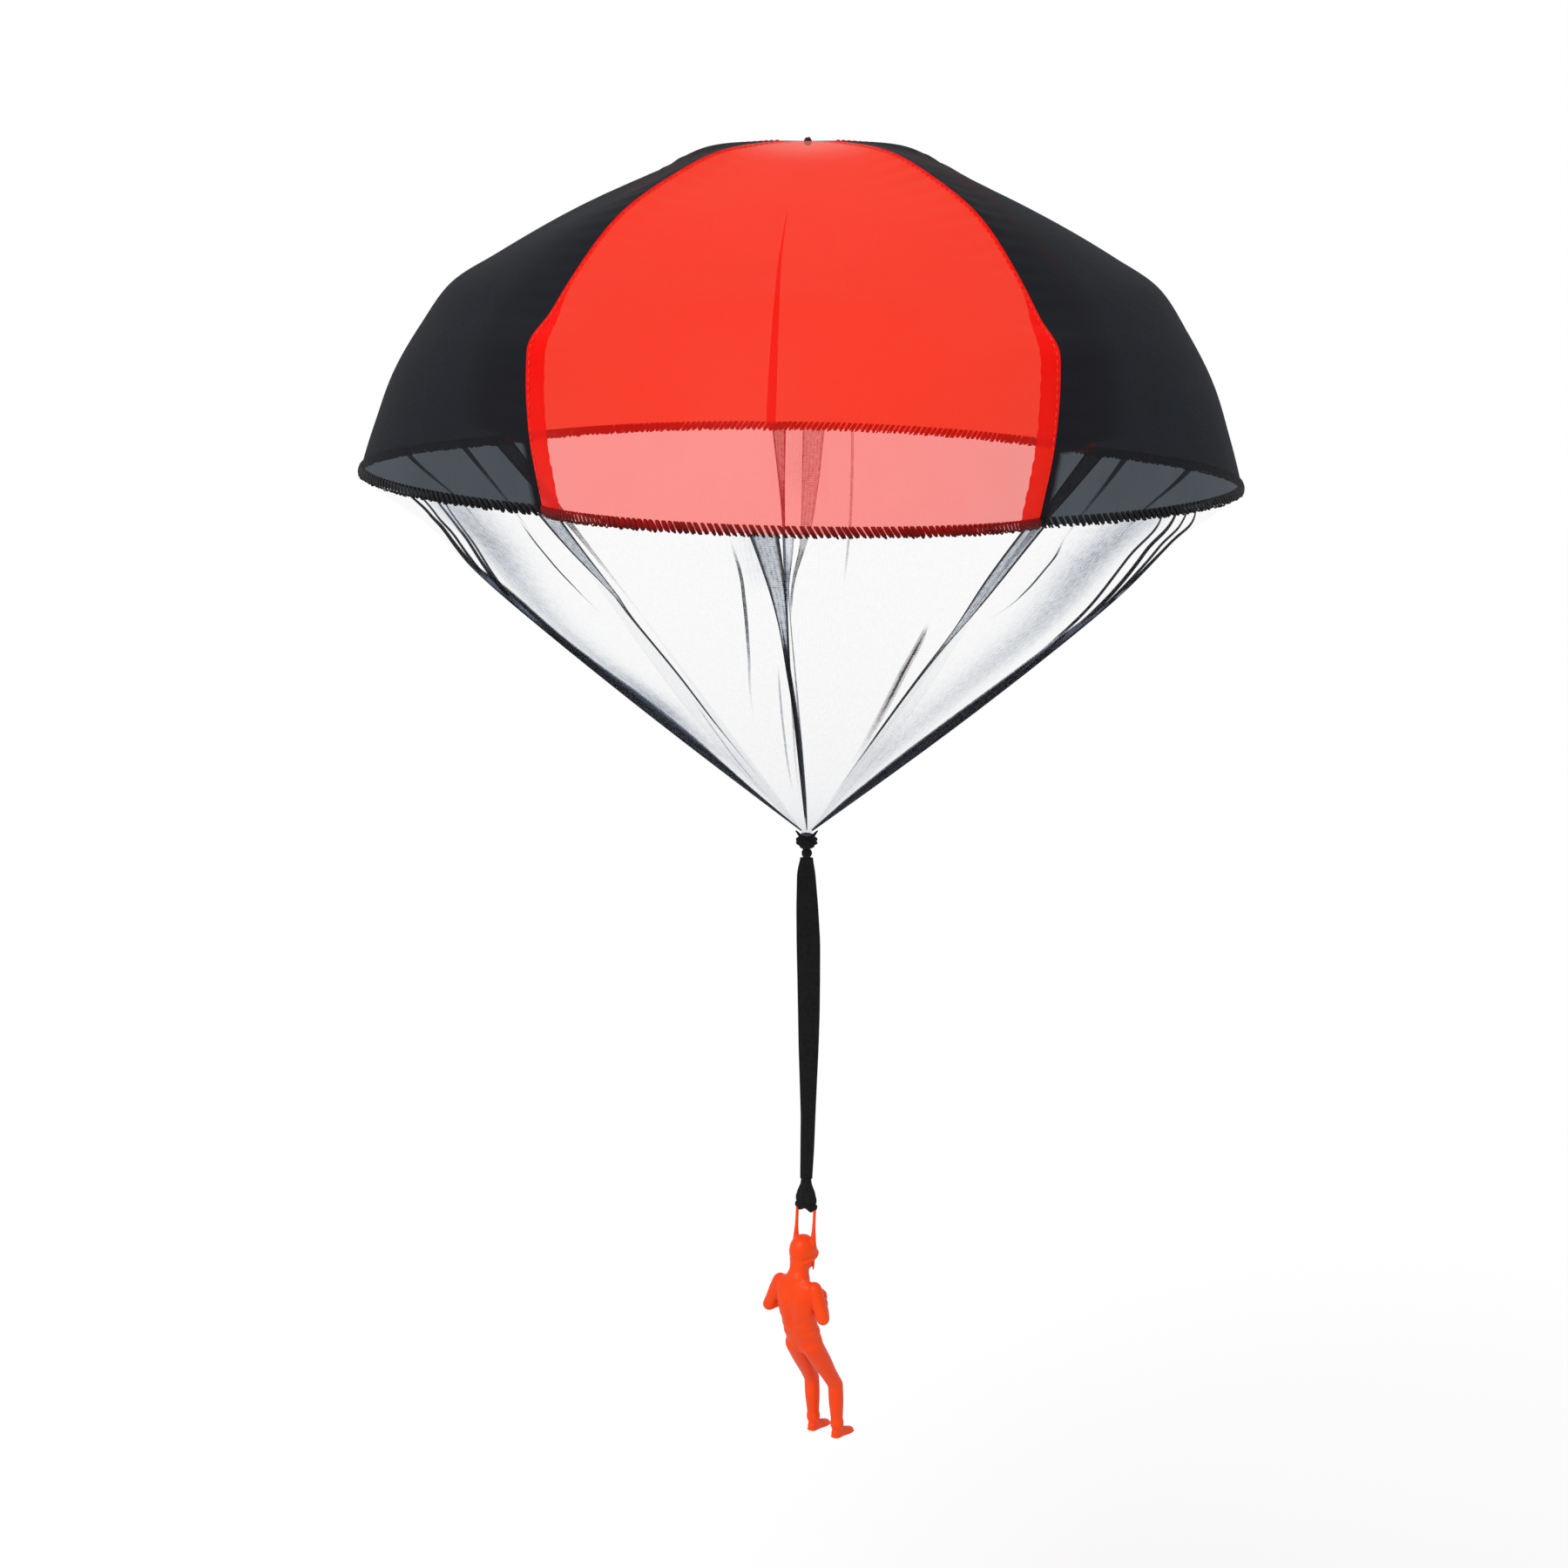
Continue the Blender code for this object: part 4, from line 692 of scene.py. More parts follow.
# shadows of slack cloth: gore, half width, and rows of (down, across, cover)
softBands = [
    ("left", 0.05, [(0, 0.86, 0.45), (0.11, 0.845, 0.56), (0.23, 0.815, 0.38), (0.34, 0.80, 0.28),
                    (0.43, 0.81, 0.34), (0.5, 0.84, 0.46), (0.58, 0.868, 0.55), (0.67, 0.885, 0.33),
                    (0.76, 0.92, 0.2), (0.9, 0.94, 0.05)]),
    ("right", 0.05, [(0, 0.14, 0.45), (0.11, 0.138, 0.54), (0.23, 0.148, 0.43), (0.31, 0.146, 0.37),
                     (0.40, 0.13, 0.32), (0.51, 0.105, 0.24), (0.63, 0.078, 0.24), (0.72, 0.06, 0.3),
                     (0.85, 0.05, 0.15), (0.95, 0.05, 0)]),
    ("front", 0.025, [(0, 0.457, 0.12), (0.1, 0.459, 0.1), (0.16, 0.46, 0)]),
    ("back", 0.03, [(0, 0.5, 0.1), (0.1, 0.5, 0.1), (0.2, 0.5, 0)]),
]


def netCover(gore, down, across):
    # share of the light that the cloth stops: more where the panel is drawn together, plus the soft bands
    cover = 1 - (1 - net["cover"]) ** ((1 / (1 - down * net["drawn"])) ** net["gather"])
    for place, half, track in softBands:
        if place == gore:
            at, dark = fromTable(track, down)
            cover = cover + dark * bell(across - at, half)
    return np.clip(cover, 0, 1)


def netCloth(gore):
    # the panel with fine wrinkles that run down the cloth, and a last row that hangs into the knot
    down, across = np.broadcast_arrays(np.linspace(0, 1, net["rows"])[:, None],
                                       np.linspace(0, 1, net["columns"])[None, :])
    points = netPoints(gore, down, across)
    fine = np.sin(across * 95 + 3 * np.sin(down * 4)) * 0.6 + np.sin(across * 171 + 5 * down) * 0.4
    lift = net["wrinkle"] * fine * np.sin(pi * down) * ease(0, 0.04, np.minimum(across, 1 - across))
    points = points + normalsOf(points) * lift[..., None]
    points = np.concatenate([points, points[-1:] - [0, 0, net["tail"]]])
    cover = netCover(gore, down, across)
    start, end = goreSpan[gore]
    uv = np.stack([across * canopy["radius"] * net["rimShare"] * (end - start), down * net["long"]], -1)
    return points, np.concatenate([uv, uv[-1:] + [0, net["tail"]]]), np.concatenate([cover, cover[-1:]])


nets = {}
for gore in goreSpan:
    points, uv, cover = netCloth(gore)
    nets[gore] = (makePiece("tulle_" + gore, points, gridFaces(*points.shape[:2]), tulle, uv, {"cover": cover},
                            "canopy", "net_" + gore), areaOf(points))
print("netting panels made")

# folded tulle: seam strips, darts and creases that lie on the net
ribbons = {"rows": 120, "columns": 11, "inside": 0.6 * mm, "curl": 0.08, "narrow": 2.2 * mm, "wide": 4.5 * mm}


def tracked(rows):
    # down, azimuth and size along a fold: straight lines between its rows, rounded by an average of neighbours
    down = np.linspace(rows[0, 0], rows[-1, 0], ribbons["rows"])
    half = ribbons["rows"] // 16
    values = [np.convolve(np.pad(v, half, mode="reflect", reflect_type="odd"),
                          np.ones(2 * half + 1) / (2 * half + 1),
                          mode="valid") for v in fromTable(rows, down)]
    return down, np.radians(values[0]), values[1] * mm


def fading(fade):
    # 0 to 1 over the first share of a fold's length, and 1 to 0 over the last
    far = np.linspace(0, 1, ribbons["rows"])[:, None]
    return (ease(0, fade[0], far) if fade[0] else 1) * (ease(1, 1 - fade[1], far) if fade[1] else 1)


def ribbonOn(track, edge, middle, rim, fade=(0.0, 0.0)):
    # track rows are (down, azimuth in degrees, width in mm). A flat ribbon of that width lies just inside the net.
    # its cover goes from middle to edge over the outer rim share on both sides, and fades at its ends
    down, azimuth, width = tracked(np.array(track, float))
    share = np.linspace(-1, 1, ribbons["columns"])[None, :]
    along, inward = outwards(azimuth + pi / 2), -0.67 * outwards(azimuth)
    inward[:, 2] = 0.74
    points = (netAround(down, azimuth)[:, None] + along[:, None] * (share * width[:, None] / 2)[..., None]
              + inward[:, None] * ribbons["inside"])
    core = middle + (edge - middle) * ease(ribbons["wide"], ribbons["narrow"], width)[:, None]
    cover = core + (edge - core) * ease(1 - rim - 0.12, 1 - rim + 0.05, np.abs(share))
    uv = np.stack([share * 0.5 * width[:, None], down[:, None] * net["long"] + 0 * share], -1)
    return points, uv, cover * fading(fade)


def finOn(track, cover, fade=(0.05, 0.0)):
    # a pinched pleat that stands inwards from the net: track rows are (down, azimuth in degrees, depth in mm)
    down, azimuth, depth = tracked(np.array(track, float))
    base, inward = netAround(down, azimuth), -netNormal(down, azimuth)
    share = np.linspace(0, 1, ribbons["columns"])[None, :]
    side = np.cross(inward, unit(np.gradient(base, axis=0)))
    curl = depth[:, None] * ribbons["curl"] * np.sin(pi * share)
    points = base[:, None] + inward[:, None] * (depth[:, None] * share)[..., None] + side[:,
                                                                                          None] * curl[...,
                                                                                                       None]
    uv = np.stack([share * depth[:, None], down[:, None] * net["long"] + 0 * share], -1)
    return points, uv, cover * fading(fade) * (1 - 0.6 * ease(0.85, 1, share))


def makeFolds(name, grids, stands=None):
    # several grids of points as one mesh of tulle
    faces, offset = [], 0
    for grid, _, _ in grids:
        faces.append(gridFaces(*grid.shape[:2]) + offset)
        offset += grid.shape[0] * grid.shape[1]
    points, uv, cover = (np.concatenate([part[k].reshape(-1, size) for part in grids]) for k,
                         size in enumerate((3, 2, 1)))
    return makePiece(name, points, np.concatenate(faces), tulle, uv, {"cover": cover}, "canopy", stands)


# a seam's own strip: wide at the hem with a dark fold at each edge, drawn to one line lower down.
# rows of (down, degrees off the seam, width in mm), then how dark it is, its fill and its fade at the end
seamTracks = {
    "left": ([(0, 2.4, 13.5), (0.07, 1.8, 11.5), (0.15, 1.2, 8.5), (0.23, 0.3, 4.2), (0.30, -0.6, 2.2),
              (0.5, -0.8, 1.9),
              (0.65, -1.6, 1.4), (0.9, -2.0, 0.8)], 0.985, 0.6, 0.35),
    "right": ([(0, -0.8, 13.0), (0.10, -1.2, 12.0), (0.19, -1.6, 10.5), (0.27, -1.8, 6.5), (0.36, -1.2, 3.0),
               (0.5, -0.4, 2.2), (0.72, 0, 1.7), (0.97, 0, 0.9)], 0.985, 0.6, 0.35),
    "hidden": ([(0, 0, 13.5), (0.12, 0, 10.0), (0.22, 0, 5.0), (0.35, 0, 1.8), (0.5, 0, 1.2)], 0.97, 0.95, 0.8),
}
for (gore, side), end in seamEnds.items():
    track, dark, fill, fade = seamTracks[side if gore == "front" else "hidden"]
    rows = [(down, canopy["gores"][gore][end] + turn, width) for down, turn, width in track]
    makeFolds(f"tulle_seam_{gore}_{side}",
                                       [ribbonOn(rows, dark, fill * dark, 0.26, (0, fade))],
                                       f"net_seam_{gore}_{side}")

# each fold runs through rows of (down, across, width in mm), and a fin's third number is its depth;
# then come how dark it is and its fades
creases = {
    "left": [
        (ribbonOn, [(0.0, 0.10, 5.0), (0.08, 0.105, 3.0), (0.26, 0.12, 0.8)], 0.95, 0.9, 0.3, (0, 0.9)),
        (ribbonOn, [(0.0, 0.26, 6.0), (0.08, 0.265, 3.2), (0.26, 0.28, 0.8)], 0.95, 0.9, 0.3, (0, 0.9)),
        (finOn, [(0, 0.77, 1.1), (0.048, 0.764, 1.4), (0.11, 0.71, 1.8), (0.17, 0.651, 2.0),
                 (0.25, 0.575, 2.4), (0.34, 0.56, 2.4)], 0.99, (0, 0.35)),
        (finOn, [(0, 0.80, 0.9), (0.042, 0.788, 1.1), (0.11, 0.74, 1.2), (0.172, 0.695, 1.3),
                 (0.25, 0.64, 1.4), (0.34, 0.585, 1.6)], 0.98, (0, 0.35)),
        (finOn, [(0, 0.83, 1.1), (0.06, 0.812, 1.3), (0.12, 0.775, 1.5), (0.172, 0.743, 1.6),
                 (0.24, 0.70, 1.7), (0.32, 0.64, 1.8), (0.42, 0.585, 1.8)], 0.99, (0, 0.35)),
        (finOn, [(0, 0.845, 0.8), (0.068, 0.82, 1.0), (0.12, 0.79, 1.1), (0.178, 0.76, 1.2),
                 (0.24, 0.72, 1.3), (0.32, 0.66, 1.2), (0.42, 0.60, 1.0)], 0.96, (0, 0.35)),
        (finOn, [(0.22, 0.575, 0.6), (0.28, 0.565, 4.4), (0.34, 0.56, 5.0), (0.44, 0.558, 3.6),
                 (0.54, 0.555, 4.6), (0.65, 0.55, 6.2), (0.75, 0.545, 5.4), (0.84, 0.545, 3.2),
                 (0.93, 0.55, 1.5), (1, 0.55, 0.8)], 0.995),
        (ribbonOn, [(0.02, 0.952, 1.0), (0.10, 0.943, 1.5), (0.168, 0.94, 1.7), (0.232, 0.943, 1.3),
                    (0.31, 0.948, 0.8)], 0.93, 0.93, 0.4, (0.2, 0.4)),
    ],
    "right": [
        (ribbonOn, [(0.0, 0.93, 5.0), (0.08, 0.925, 3.0), (0.26, 0.92, 0.8)], 0.95, 0.9, 0.3, (0, 0.9)),
        (ribbonOn, [(0.0, 0.76, 7.0), (0.08, 0.755, 3.6), (0.26, 0.75, 0.8)], 0.95, 0.9, 0.3, (0, 0.9)),
        (finOn, [(0, 0.185, 1.0), (0.026, 0.20, 1.2), (0.09, 0.222, 1.3), (0.15, 0.242, 1.3),
                 (0.232, 0.262, 1.4), (0.333, 0.297, 1.5), (0.429, 0.32, 1.5), (0.50, 0.36, 1.4)], 0.98,
                 (0, 0.35)),
        (finOn, [(0, 0.213, 1.3), (0.028, 0.228, 1.6), (0.10, 0.268, 1.8), (0.168, 0.308, 1.9),
                 (0.253, 0.34, 2.0), (0.365, 0.385, 2.0), (0.45, 0.42, 1.6)], 0.99, (0, 0.35)),
        (finOn, [(0, 0.236, 0.9), (0.026, 0.251, 1.1), (0.10, 0.312, 1.2), (0.168, 0.36, 1.3),
                 (0.236, 0.378, 1.4), (0.313, 0.40, 1.4), (0.40, 0.43, 1.4)], 0.98, (0, 0.35)),
        (finOn, [(0, 0.255, 1.0), (0.05, 0.305, 1.2), (0.10, 0.37, 1.3), (0.156, 0.425, 1.4),
                 (0.23, 0.44, 1.8), (0.285, 0.45, 2.0), (0.38, 0.455, 2.0)], 0.99, (0, 0.35)),
        (finOn, [(0.26, 0.445, 0.6), (0.34, 0.45, 3.0), (0.44, 0.455, 4.2), (0.56, 0.46, 5.0),
                 (0.68, 0.465, 5.6), (0.78, 0.47, 5.4), (0.88, 0.47, 4.2), (0.95, 0.46, 2.6),
                 (1, 0.46, 1.0)], 0.995),
        (ribbonOn, [(0.03, 0.05, 1.0), (0.10, 0.064, 1.8), (0.18, 0.064, 1.8), (0.234, 0.058, 1.2),
                    (0.30, 0.036, 0.8)], 0.93, 0.93, 0.4, (0.25, 0.4)),
    ],
    "front": [
        (ribbonOn, [(0.0, 0.473, 12.5), (0.10, 0.481, 9.0), (0.20, 0.488, 5.6), (0.30, 0.490, 3.0),
                    (0.38, 0.489, 2.0), (0.48, 0.497, 1.9), (0.61, 0.499, 1.7), (0.8, 0.5, 1.2),
                    (0.97, 0.5, 0.8)], 0.985, 0.55, 0.22, (0, 0.05)),
        (ribbonOn, [(0.0, 0.508, 5.0), (0.06, 0.506, 3.6), (0.13, 0.502, 1.6), (0.22, 0.499, 0.8)], 0.75,
         0.3, 0.3, (0, 0.3)),
        (finOn, [(0.22, 0.485, 0.3), (0.35, 0.488, 2.2), (0.6, 0.497, 3.0), (0.85, 0.498, 2.2),
                 (1, 0.5, 0.8)], 0.97),
        (ribbonOn, [(0.01, 0.423, 0.9), (0.11, 0.429, 1.5), (0.226, 0.421, 1.5), (0.34, 0.407, 1.2),
                    (0.56, 0.357, 0.8)], 0.86, 0.86, 0.5, (0.15, 0.6)),
        (ribbonOn, [(0.36, 0.468, 0.8), (0.5, 0.457, 1.0), (0.625, 0.447, 1.0), (0.85, 0.42, 0.7)], 0.55,
         0.55, 0.5, (0.2, 0.4)),
        (ribbonOn, [(0.46, 0.19, 0.8), (0.6, 0.186, 1.0), (0.74, 0.17, 0.9), (0.88, 0.14, 0.7)], 0.5, 0.5,
         0.5, (0.2, 0.4)),
    ],
    "back": [
        (ribbonOn, [(0.0, 0.53, 7.6), (0.10, 0.531, 4.4), (0.22, 0.532, 1.6), (0.5, 0.543, 1.2),
                    (0.74, 0.555, 1.0), (0.97, 0.6, 0.6)], 0.9, 0.6, 0.2, (0, 0.4)),
        (ribbonOn, [(0.0, 0.478, 12), (0.12, 0.482, 9.5), (0.23, 0.488, 6.5), (0.30, 0.497, 3.2),
                    (0.40, 0.522, 1.4), (0.5, 0.535, 1.0)], 0.75, 0.42, 0.12, (0, 0.15)),
        (ribbonOn, [(0.0, 0.42, 1.6), (0.23, 0.408, 1.4), (0.40, 0.405, 1.0)], 0.45, 0.45, 0.3, (0, 0.3)),
        (ribbonOn, [(0.45, 0.176, 1.6), (0.5, 0.172, 4.2), (0.58, 0.176, 5.0), (0.72, 0.166, 4.2),
                    (0.86, 0.154, 2.2)], 0.45, 0.93, 0.6, (0.08, 0.6)),
        (finOn, [(0.3, 0.53, 0.3), (0.5, 0.535, 2.4), (0.8, 0.53, 2.4), (1, 0.52, 0.8)], 0.7),
    ],
}


def makeCreases(gore):
    start, end = canopy["gores"][gore]
    grids = []
    for kind, rows, *rest in creases[gore]:
        track = [(down, start + (end - start) * across, size) for down, across, size in rows]
        grids.append(kind(track, *rest))
    return makeFolds("tulle_folds_" + gore, grids)


netFolds = {gore: makeCreases(gore) for gore in goreSpan}
print("net seams and folds made")

knot = {"top": -335.5 * mm, "height": 8.5 * mm, "width": 11 * mm, "depth": 9 * mm, "turns": 4, "groove": 0.10,
        "pivot": -345.9 * mm, "neckRadius": 2.7 * mm, "neckShare": 0.99, "rings": 70, "sides": 96,
        "closed": 0.985}


def makeKnot():
    # a ball whose radius swings with the turns wound round it, with a second slower swing across them and small creases
    lift = np.linspace(-1, 1, knot["rings"])[:, None] * (pi / 2) * knot["closed"]
    azimuth, z, level = around(knot["sides"])[None, :], np.sin(lift), np.cos(lift)
    wound = np.abs(np.sin(knot["turns"] / 2 * azimuth * 0.5 + 3.4 * z * 1.6)) ** 0.7
    crossed = np.abs(np.cos(azimuth - 2.2 * z)) ** 0.8
    creased = 0.02 * np.sin(14 * azimuth + 9 * z) + 0.012 * np.sin(31 * azimuth - 22 * z)
    size = 1 - knot["groove"] * 1.6 * (1 - wound) * level - knot["groove"] * (1 - crossed) * level + creased * level
    ball = outwards(azimuth + 0 * lift) * (size * level)[..., None]
    ball[..., 2] = size * z
    ball = ball * np.array([knot["width"], knot["depth"], knot["height"]]) / 2
    ball[..., 2] += knot["top"] - knot["height"] / 2
    stacks = [ball]
    # two short cloth ends that stick up beside the net, each a flat tapering tongue
    t = np.linspace(0, 1, 14)
    for side in (-1, 1):
        path = np.stack([side * (3.0 + 2.4 * t) * mm, (0.6 - 0.9 * t) * mm,
                         knot["top"] - (2.4 - 3.4 * t ** 0.8) * mm], -1)
        stacks.append(ovalRings(path, (3.6 - 2.9 * t) * mm, (1.8 - 1.1 * t) * mm, 14, (0, 1, 0)))
    points, faces = joined(stacks)
    uv = np.concatenate([clothUv(rings) for rings in stacks])
    makePiece("wound_knot", points, faces, strapCloth, uv, None, "canopy", "gather_knot")


def makeNeck():
    # a pinched ball with folds that run from its top to its bottom
    lift = np.linspace(-1, 1, 36)[:, None] * (pi / 2) * knot["closed"]
    azimuth = around(60)[None, :]
    fold = 1 - 0.06 * (1 - np.cos(9 * azimuth + 1.5 * np.sin(lift))) * np.cos(lift)
    points = outwards(azimuth + 0 * lift) * (fold * np.cos(lift))[..., None]
    points[..., 2] = np.sin(lift)
    points = points * knot["neckRadius"] * knot["neckShare"] + [0, 0, knot["pivot"]]
    return makePiece("pinched_neck", points, ringsFaces(points), strapCloth, clothUv(points), None,
                     "strap_neck", "strap_neck")


makeKnot()
makeNeck()

strap = {
    "top": -348.3 * mm, "bottom": -514.8 * mm, "rings": 200, "sides": 64, "twistFrom": -0.455,
    "twistTo": -0.512,
    # down the strap: share, width, thickness in mm, and how far its middle wanders to the right
    "shape": [(0, 6.0, 3.4, 0.0), (0.04, 9.0, 2.6, -0.3), (0.15, 10.9, 1.9, 0.3), (0.26, 11.8, 1.6, 0.9),
              (0.37, 11.4, 1.6, 1.1), (0.48, 10.9, 1.6, 1.2), (0.585, 10.1, 1.6, 1.1), (0.69, 8.8, 1.8, 1.0),
              (0.80, 7.5, 2.0, 0.9), (0.91, 7.0, 2.4, 0.5), (1, 6.2, 3.2, 0.0)],
    # creases down its face: place across the width, half width and depth
    "creases": [(0.02, 0.10, 1.0), (-0.24, 0.05, 0.5), (0.27, 0.06, 0.6)], "crease": 0.55 * mm,
    "ripple": 0.16 * mm,
}


def makeStrap():
    # squared ovals down the strap; creases are bells across the width whose places wander slowly down its length
    t = np.linspace(0, 1, strap["rings"])
    wide, deep, right = (np.convolve(np.pad(v, 4, mode="edge"), np.ones(9) / 9, mode="valid") * mm
                         for v in fromTable(strap["shape"], t))
    path = np.stack([right, 0 * t, strap["top"] + (strap["bottom"] - strap["top"]) * t], -1)
    rings = ovalRings(path, wide, deep, strap["sides"], fullness=0.75)
    off = (rings[..., 0] - path[:, None, 0]) / wide[:, None]
    opened = np.sin(pi * np.clip(t, 0, 1))[:, None] ** 0.5
    dent = sum(k * bell(off - at - 0.05 * np.sin(7 * t + 9 * at)[:, None], w) for at, w, k in strap["creases"])
    rings[..., 1] += np.where(rings[..., 1] < 0, 1, -0.6) * strap["crease"] * opened * dent
    rings[..., 1] += strap["ripple"] * np.sin(46 * t + 5 * np.sin(9 * t))[:, None] * np.sin(5 * off + 1)
    piece = makePiece("cloth_strap", rings, ringsFaces(rings), strapCloth, clothUv(rings))
    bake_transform(piece)
    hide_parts("strap")
    return piece


clothStrap = makeStrap()

hitch = {"top": -514.8 * mm, "axis": -529.3 * mm, "turn": math.radians(-37), "fanFloor": 1.75 * mm,
         "fanSides": 84,
         "fan": [(0, 5.4, 3.4), (0.25, 6.6, 4.0), (0.55, 10.4, 5.2), (0.8, 12.4, 5.8), (0.95, 12.2, 5.4),
                 (1, 11.6, 4.6)],
         "sleeve": 7.9 * mm, "bore": 1.2 * mm, "wall": 1.35 * mm, "least": 0.02 * mm, "notch": 3.3 * mm,
         "corner": 0.5 * mm, "ripple": 0.06 * mm, "wrapFrom": 4.15 * mm, "wrapTo": 6.25 * mm,
         "wrapRadius": 1.75 * mm}
hitchTurn = np.array(Matrix.Rotation(hitch["turn"], 3, "Z")).T


def makeHitch():
    # the fan: ovals down from the strap's end that widen to the bail, with folds that fan out and grow lower down
    t = np.linspace(0, 1, 60)
    wide, deep = fromTable(hitch["fan"], t)
    path = np.stack([0 * t, 0 * t, hitch["top"] + (hitch["axis"] + hitch["fanFloor"] - hitch["top"]) * t], -1)
    fan = ovalRings(path, wide * mm, deep * mm, hitch["fanSides"], fullness=0.85)
    azimuth, t = around(hitch["fanSides"])[None, :], t[:, None]
    fold = 1 - 0.05 * t * (1 - np.cos(10 * azimuth + 2.5 * t)) - 0.03 * np.sin(6 * azimuth + 5 * t) * t
    fan[..., :2] *= fold[..., None]
    # the sleeve: a ring section carried round the bar, its wall thinned from below in the middle for the notch
    half, section, turn = hitch["sleeve"] / 2, around(44)[None, :], around(64)[:, None]
    along = half * np.sign(np.cos(section)) * np.abs(np.cos(section)) ** 0.35
    outside = (np.sin(section) > 0).astype(float)
    below = ease(0.1, 0.95, -np.sin(turn))
    notch = ease(hitch["notch"], 0, np.abs(along)) * below
    corner = ease(0.25, 1, np.abs(along) / half) * below
    thick = hitch["wall"] * (0.5 + 0.5 * np.sign(np.sin(section)) * np.abs(np.sin(section)) ** 0.4)
    thick = thick * (1 - 0.82 * notch) + hitch["corner"] * corner * outside
    thick = thick + hitch["ripple"] * np.sin(9 * turn + 1500 * along) * outside
    radius = hitch["bore"] + np.maximum(thick, hitch["least"])
    sleeve = np.stack([along + 0 * radius, radius * np.cos(turn), radius * np.sin(turn) + hitch["axis"]], -1)
    faces = ringsFaces(fan) + (loopFaces(*sleeve.shape[:2]) + fan.shape[0] * fan.shape[1]).tolist()
    points = np.concatenate([fan.reshape(-1, 3), sleeve.reshape(-1, 3)]) @ hitchTurn
    makePiece("cloth_hitch", points, faces, strapCloth, np.concatenate([clothUv(fan), clothUv(sleeve)]), None,
              "strap_end", "strap_hitch")


def makeWraps():
    # the band's edges cinched round the two ends of the bar: barrels about the bar's axis, so they turn with it
    t = np.linspace(0, 1, 16)
    wide = 2 * hitch["wrapRadius"] * np.interp(t, [0, 0.08, 0.5, 0.85, 1], [0.75, 0.95, 1.0, 0.9, 0.55])
    wide = wide * (1 + 0.05 * np.sin(26 * t))
    far = hitch["wrapFrom"] + (hitch["wrapTo"] - hitch["wrapFrom"]) * t
    stacks = [ovalRings(np.stack([side * far, 0 * t, 0 * t + hitch["axis"]], -1), wide, wide, 36,
                        (0, 0, 1)) for side in (-1, 1)]
    points, faces = joined(stacks)
    uv = np.concatenate([clothUv(rings) for rings in stacks])
    makePiece("bar_wraps", points @ hitchTurn, faces, strapCloth, uv, None, "figure", None)


makeHitch()
makeWraps()
print("knot, neck, strap and hitch made")

# the moulded figure: its own axes run right, forwards and up from the bar's axis

figure = {
    "turn": math.radians(-37), "hang": math.radians(-4.1372672), "voxel": 0.4 * mm, "smooth": 5,
    "barRadius": 0.85, "barSpacing": 10.8, "barCorner": 1.6,
    "headTop": 14.8, "headHeight": 19.5, "headWidth": 13.4, "headLength": 15.6, "headBack": 0.8,
    "helmetHeight": 17.6, "tilt": math.radians(21),
    "shoulderDrop": 37, "shoulderWidth": 29, "shoulderBack": 4.6, "torsoLength": 40, "sway": 10,
    "chestWidth": 23, "chestDepth": 14.4,
}


def roundEnded(rows):
    # rings added at both ends, their sizes following the cosine and their places the sine of an arc
    angles = np.radians([25, 45, 62, 76, 86])
    ends = []
    for end, inner in ((rows[0], rows[1]), (rows[-1], rows[-2])):
        way = (end - inner)[:3] / np.linalg.norm((end - inner)[:3])
        cap = np.repeat(end[None], len(angles), axis=0)
        cap[:, :3] += np.outer(np.sin(angles) * end[3:].mean() / 2, way)
        cap[:, 3:] *= np.cos(angles)[:, None]
        ends.append(cap)
    return np.concatenate([ends[0][::-1], rows, ends[1]])


def limb(rows, count=26, sides=28, across=(1, 0, 0)):
    # a round-ended run of ovals through rows of (x, y, z, width, depth) in mm
    rows = roundEnded(smoothCurve(np.array(rows, float), np.linspace(0, 1, count)))
    return ovalRings(rows[:, :3], rows[:, 3], rows[:, 4], sides, across)


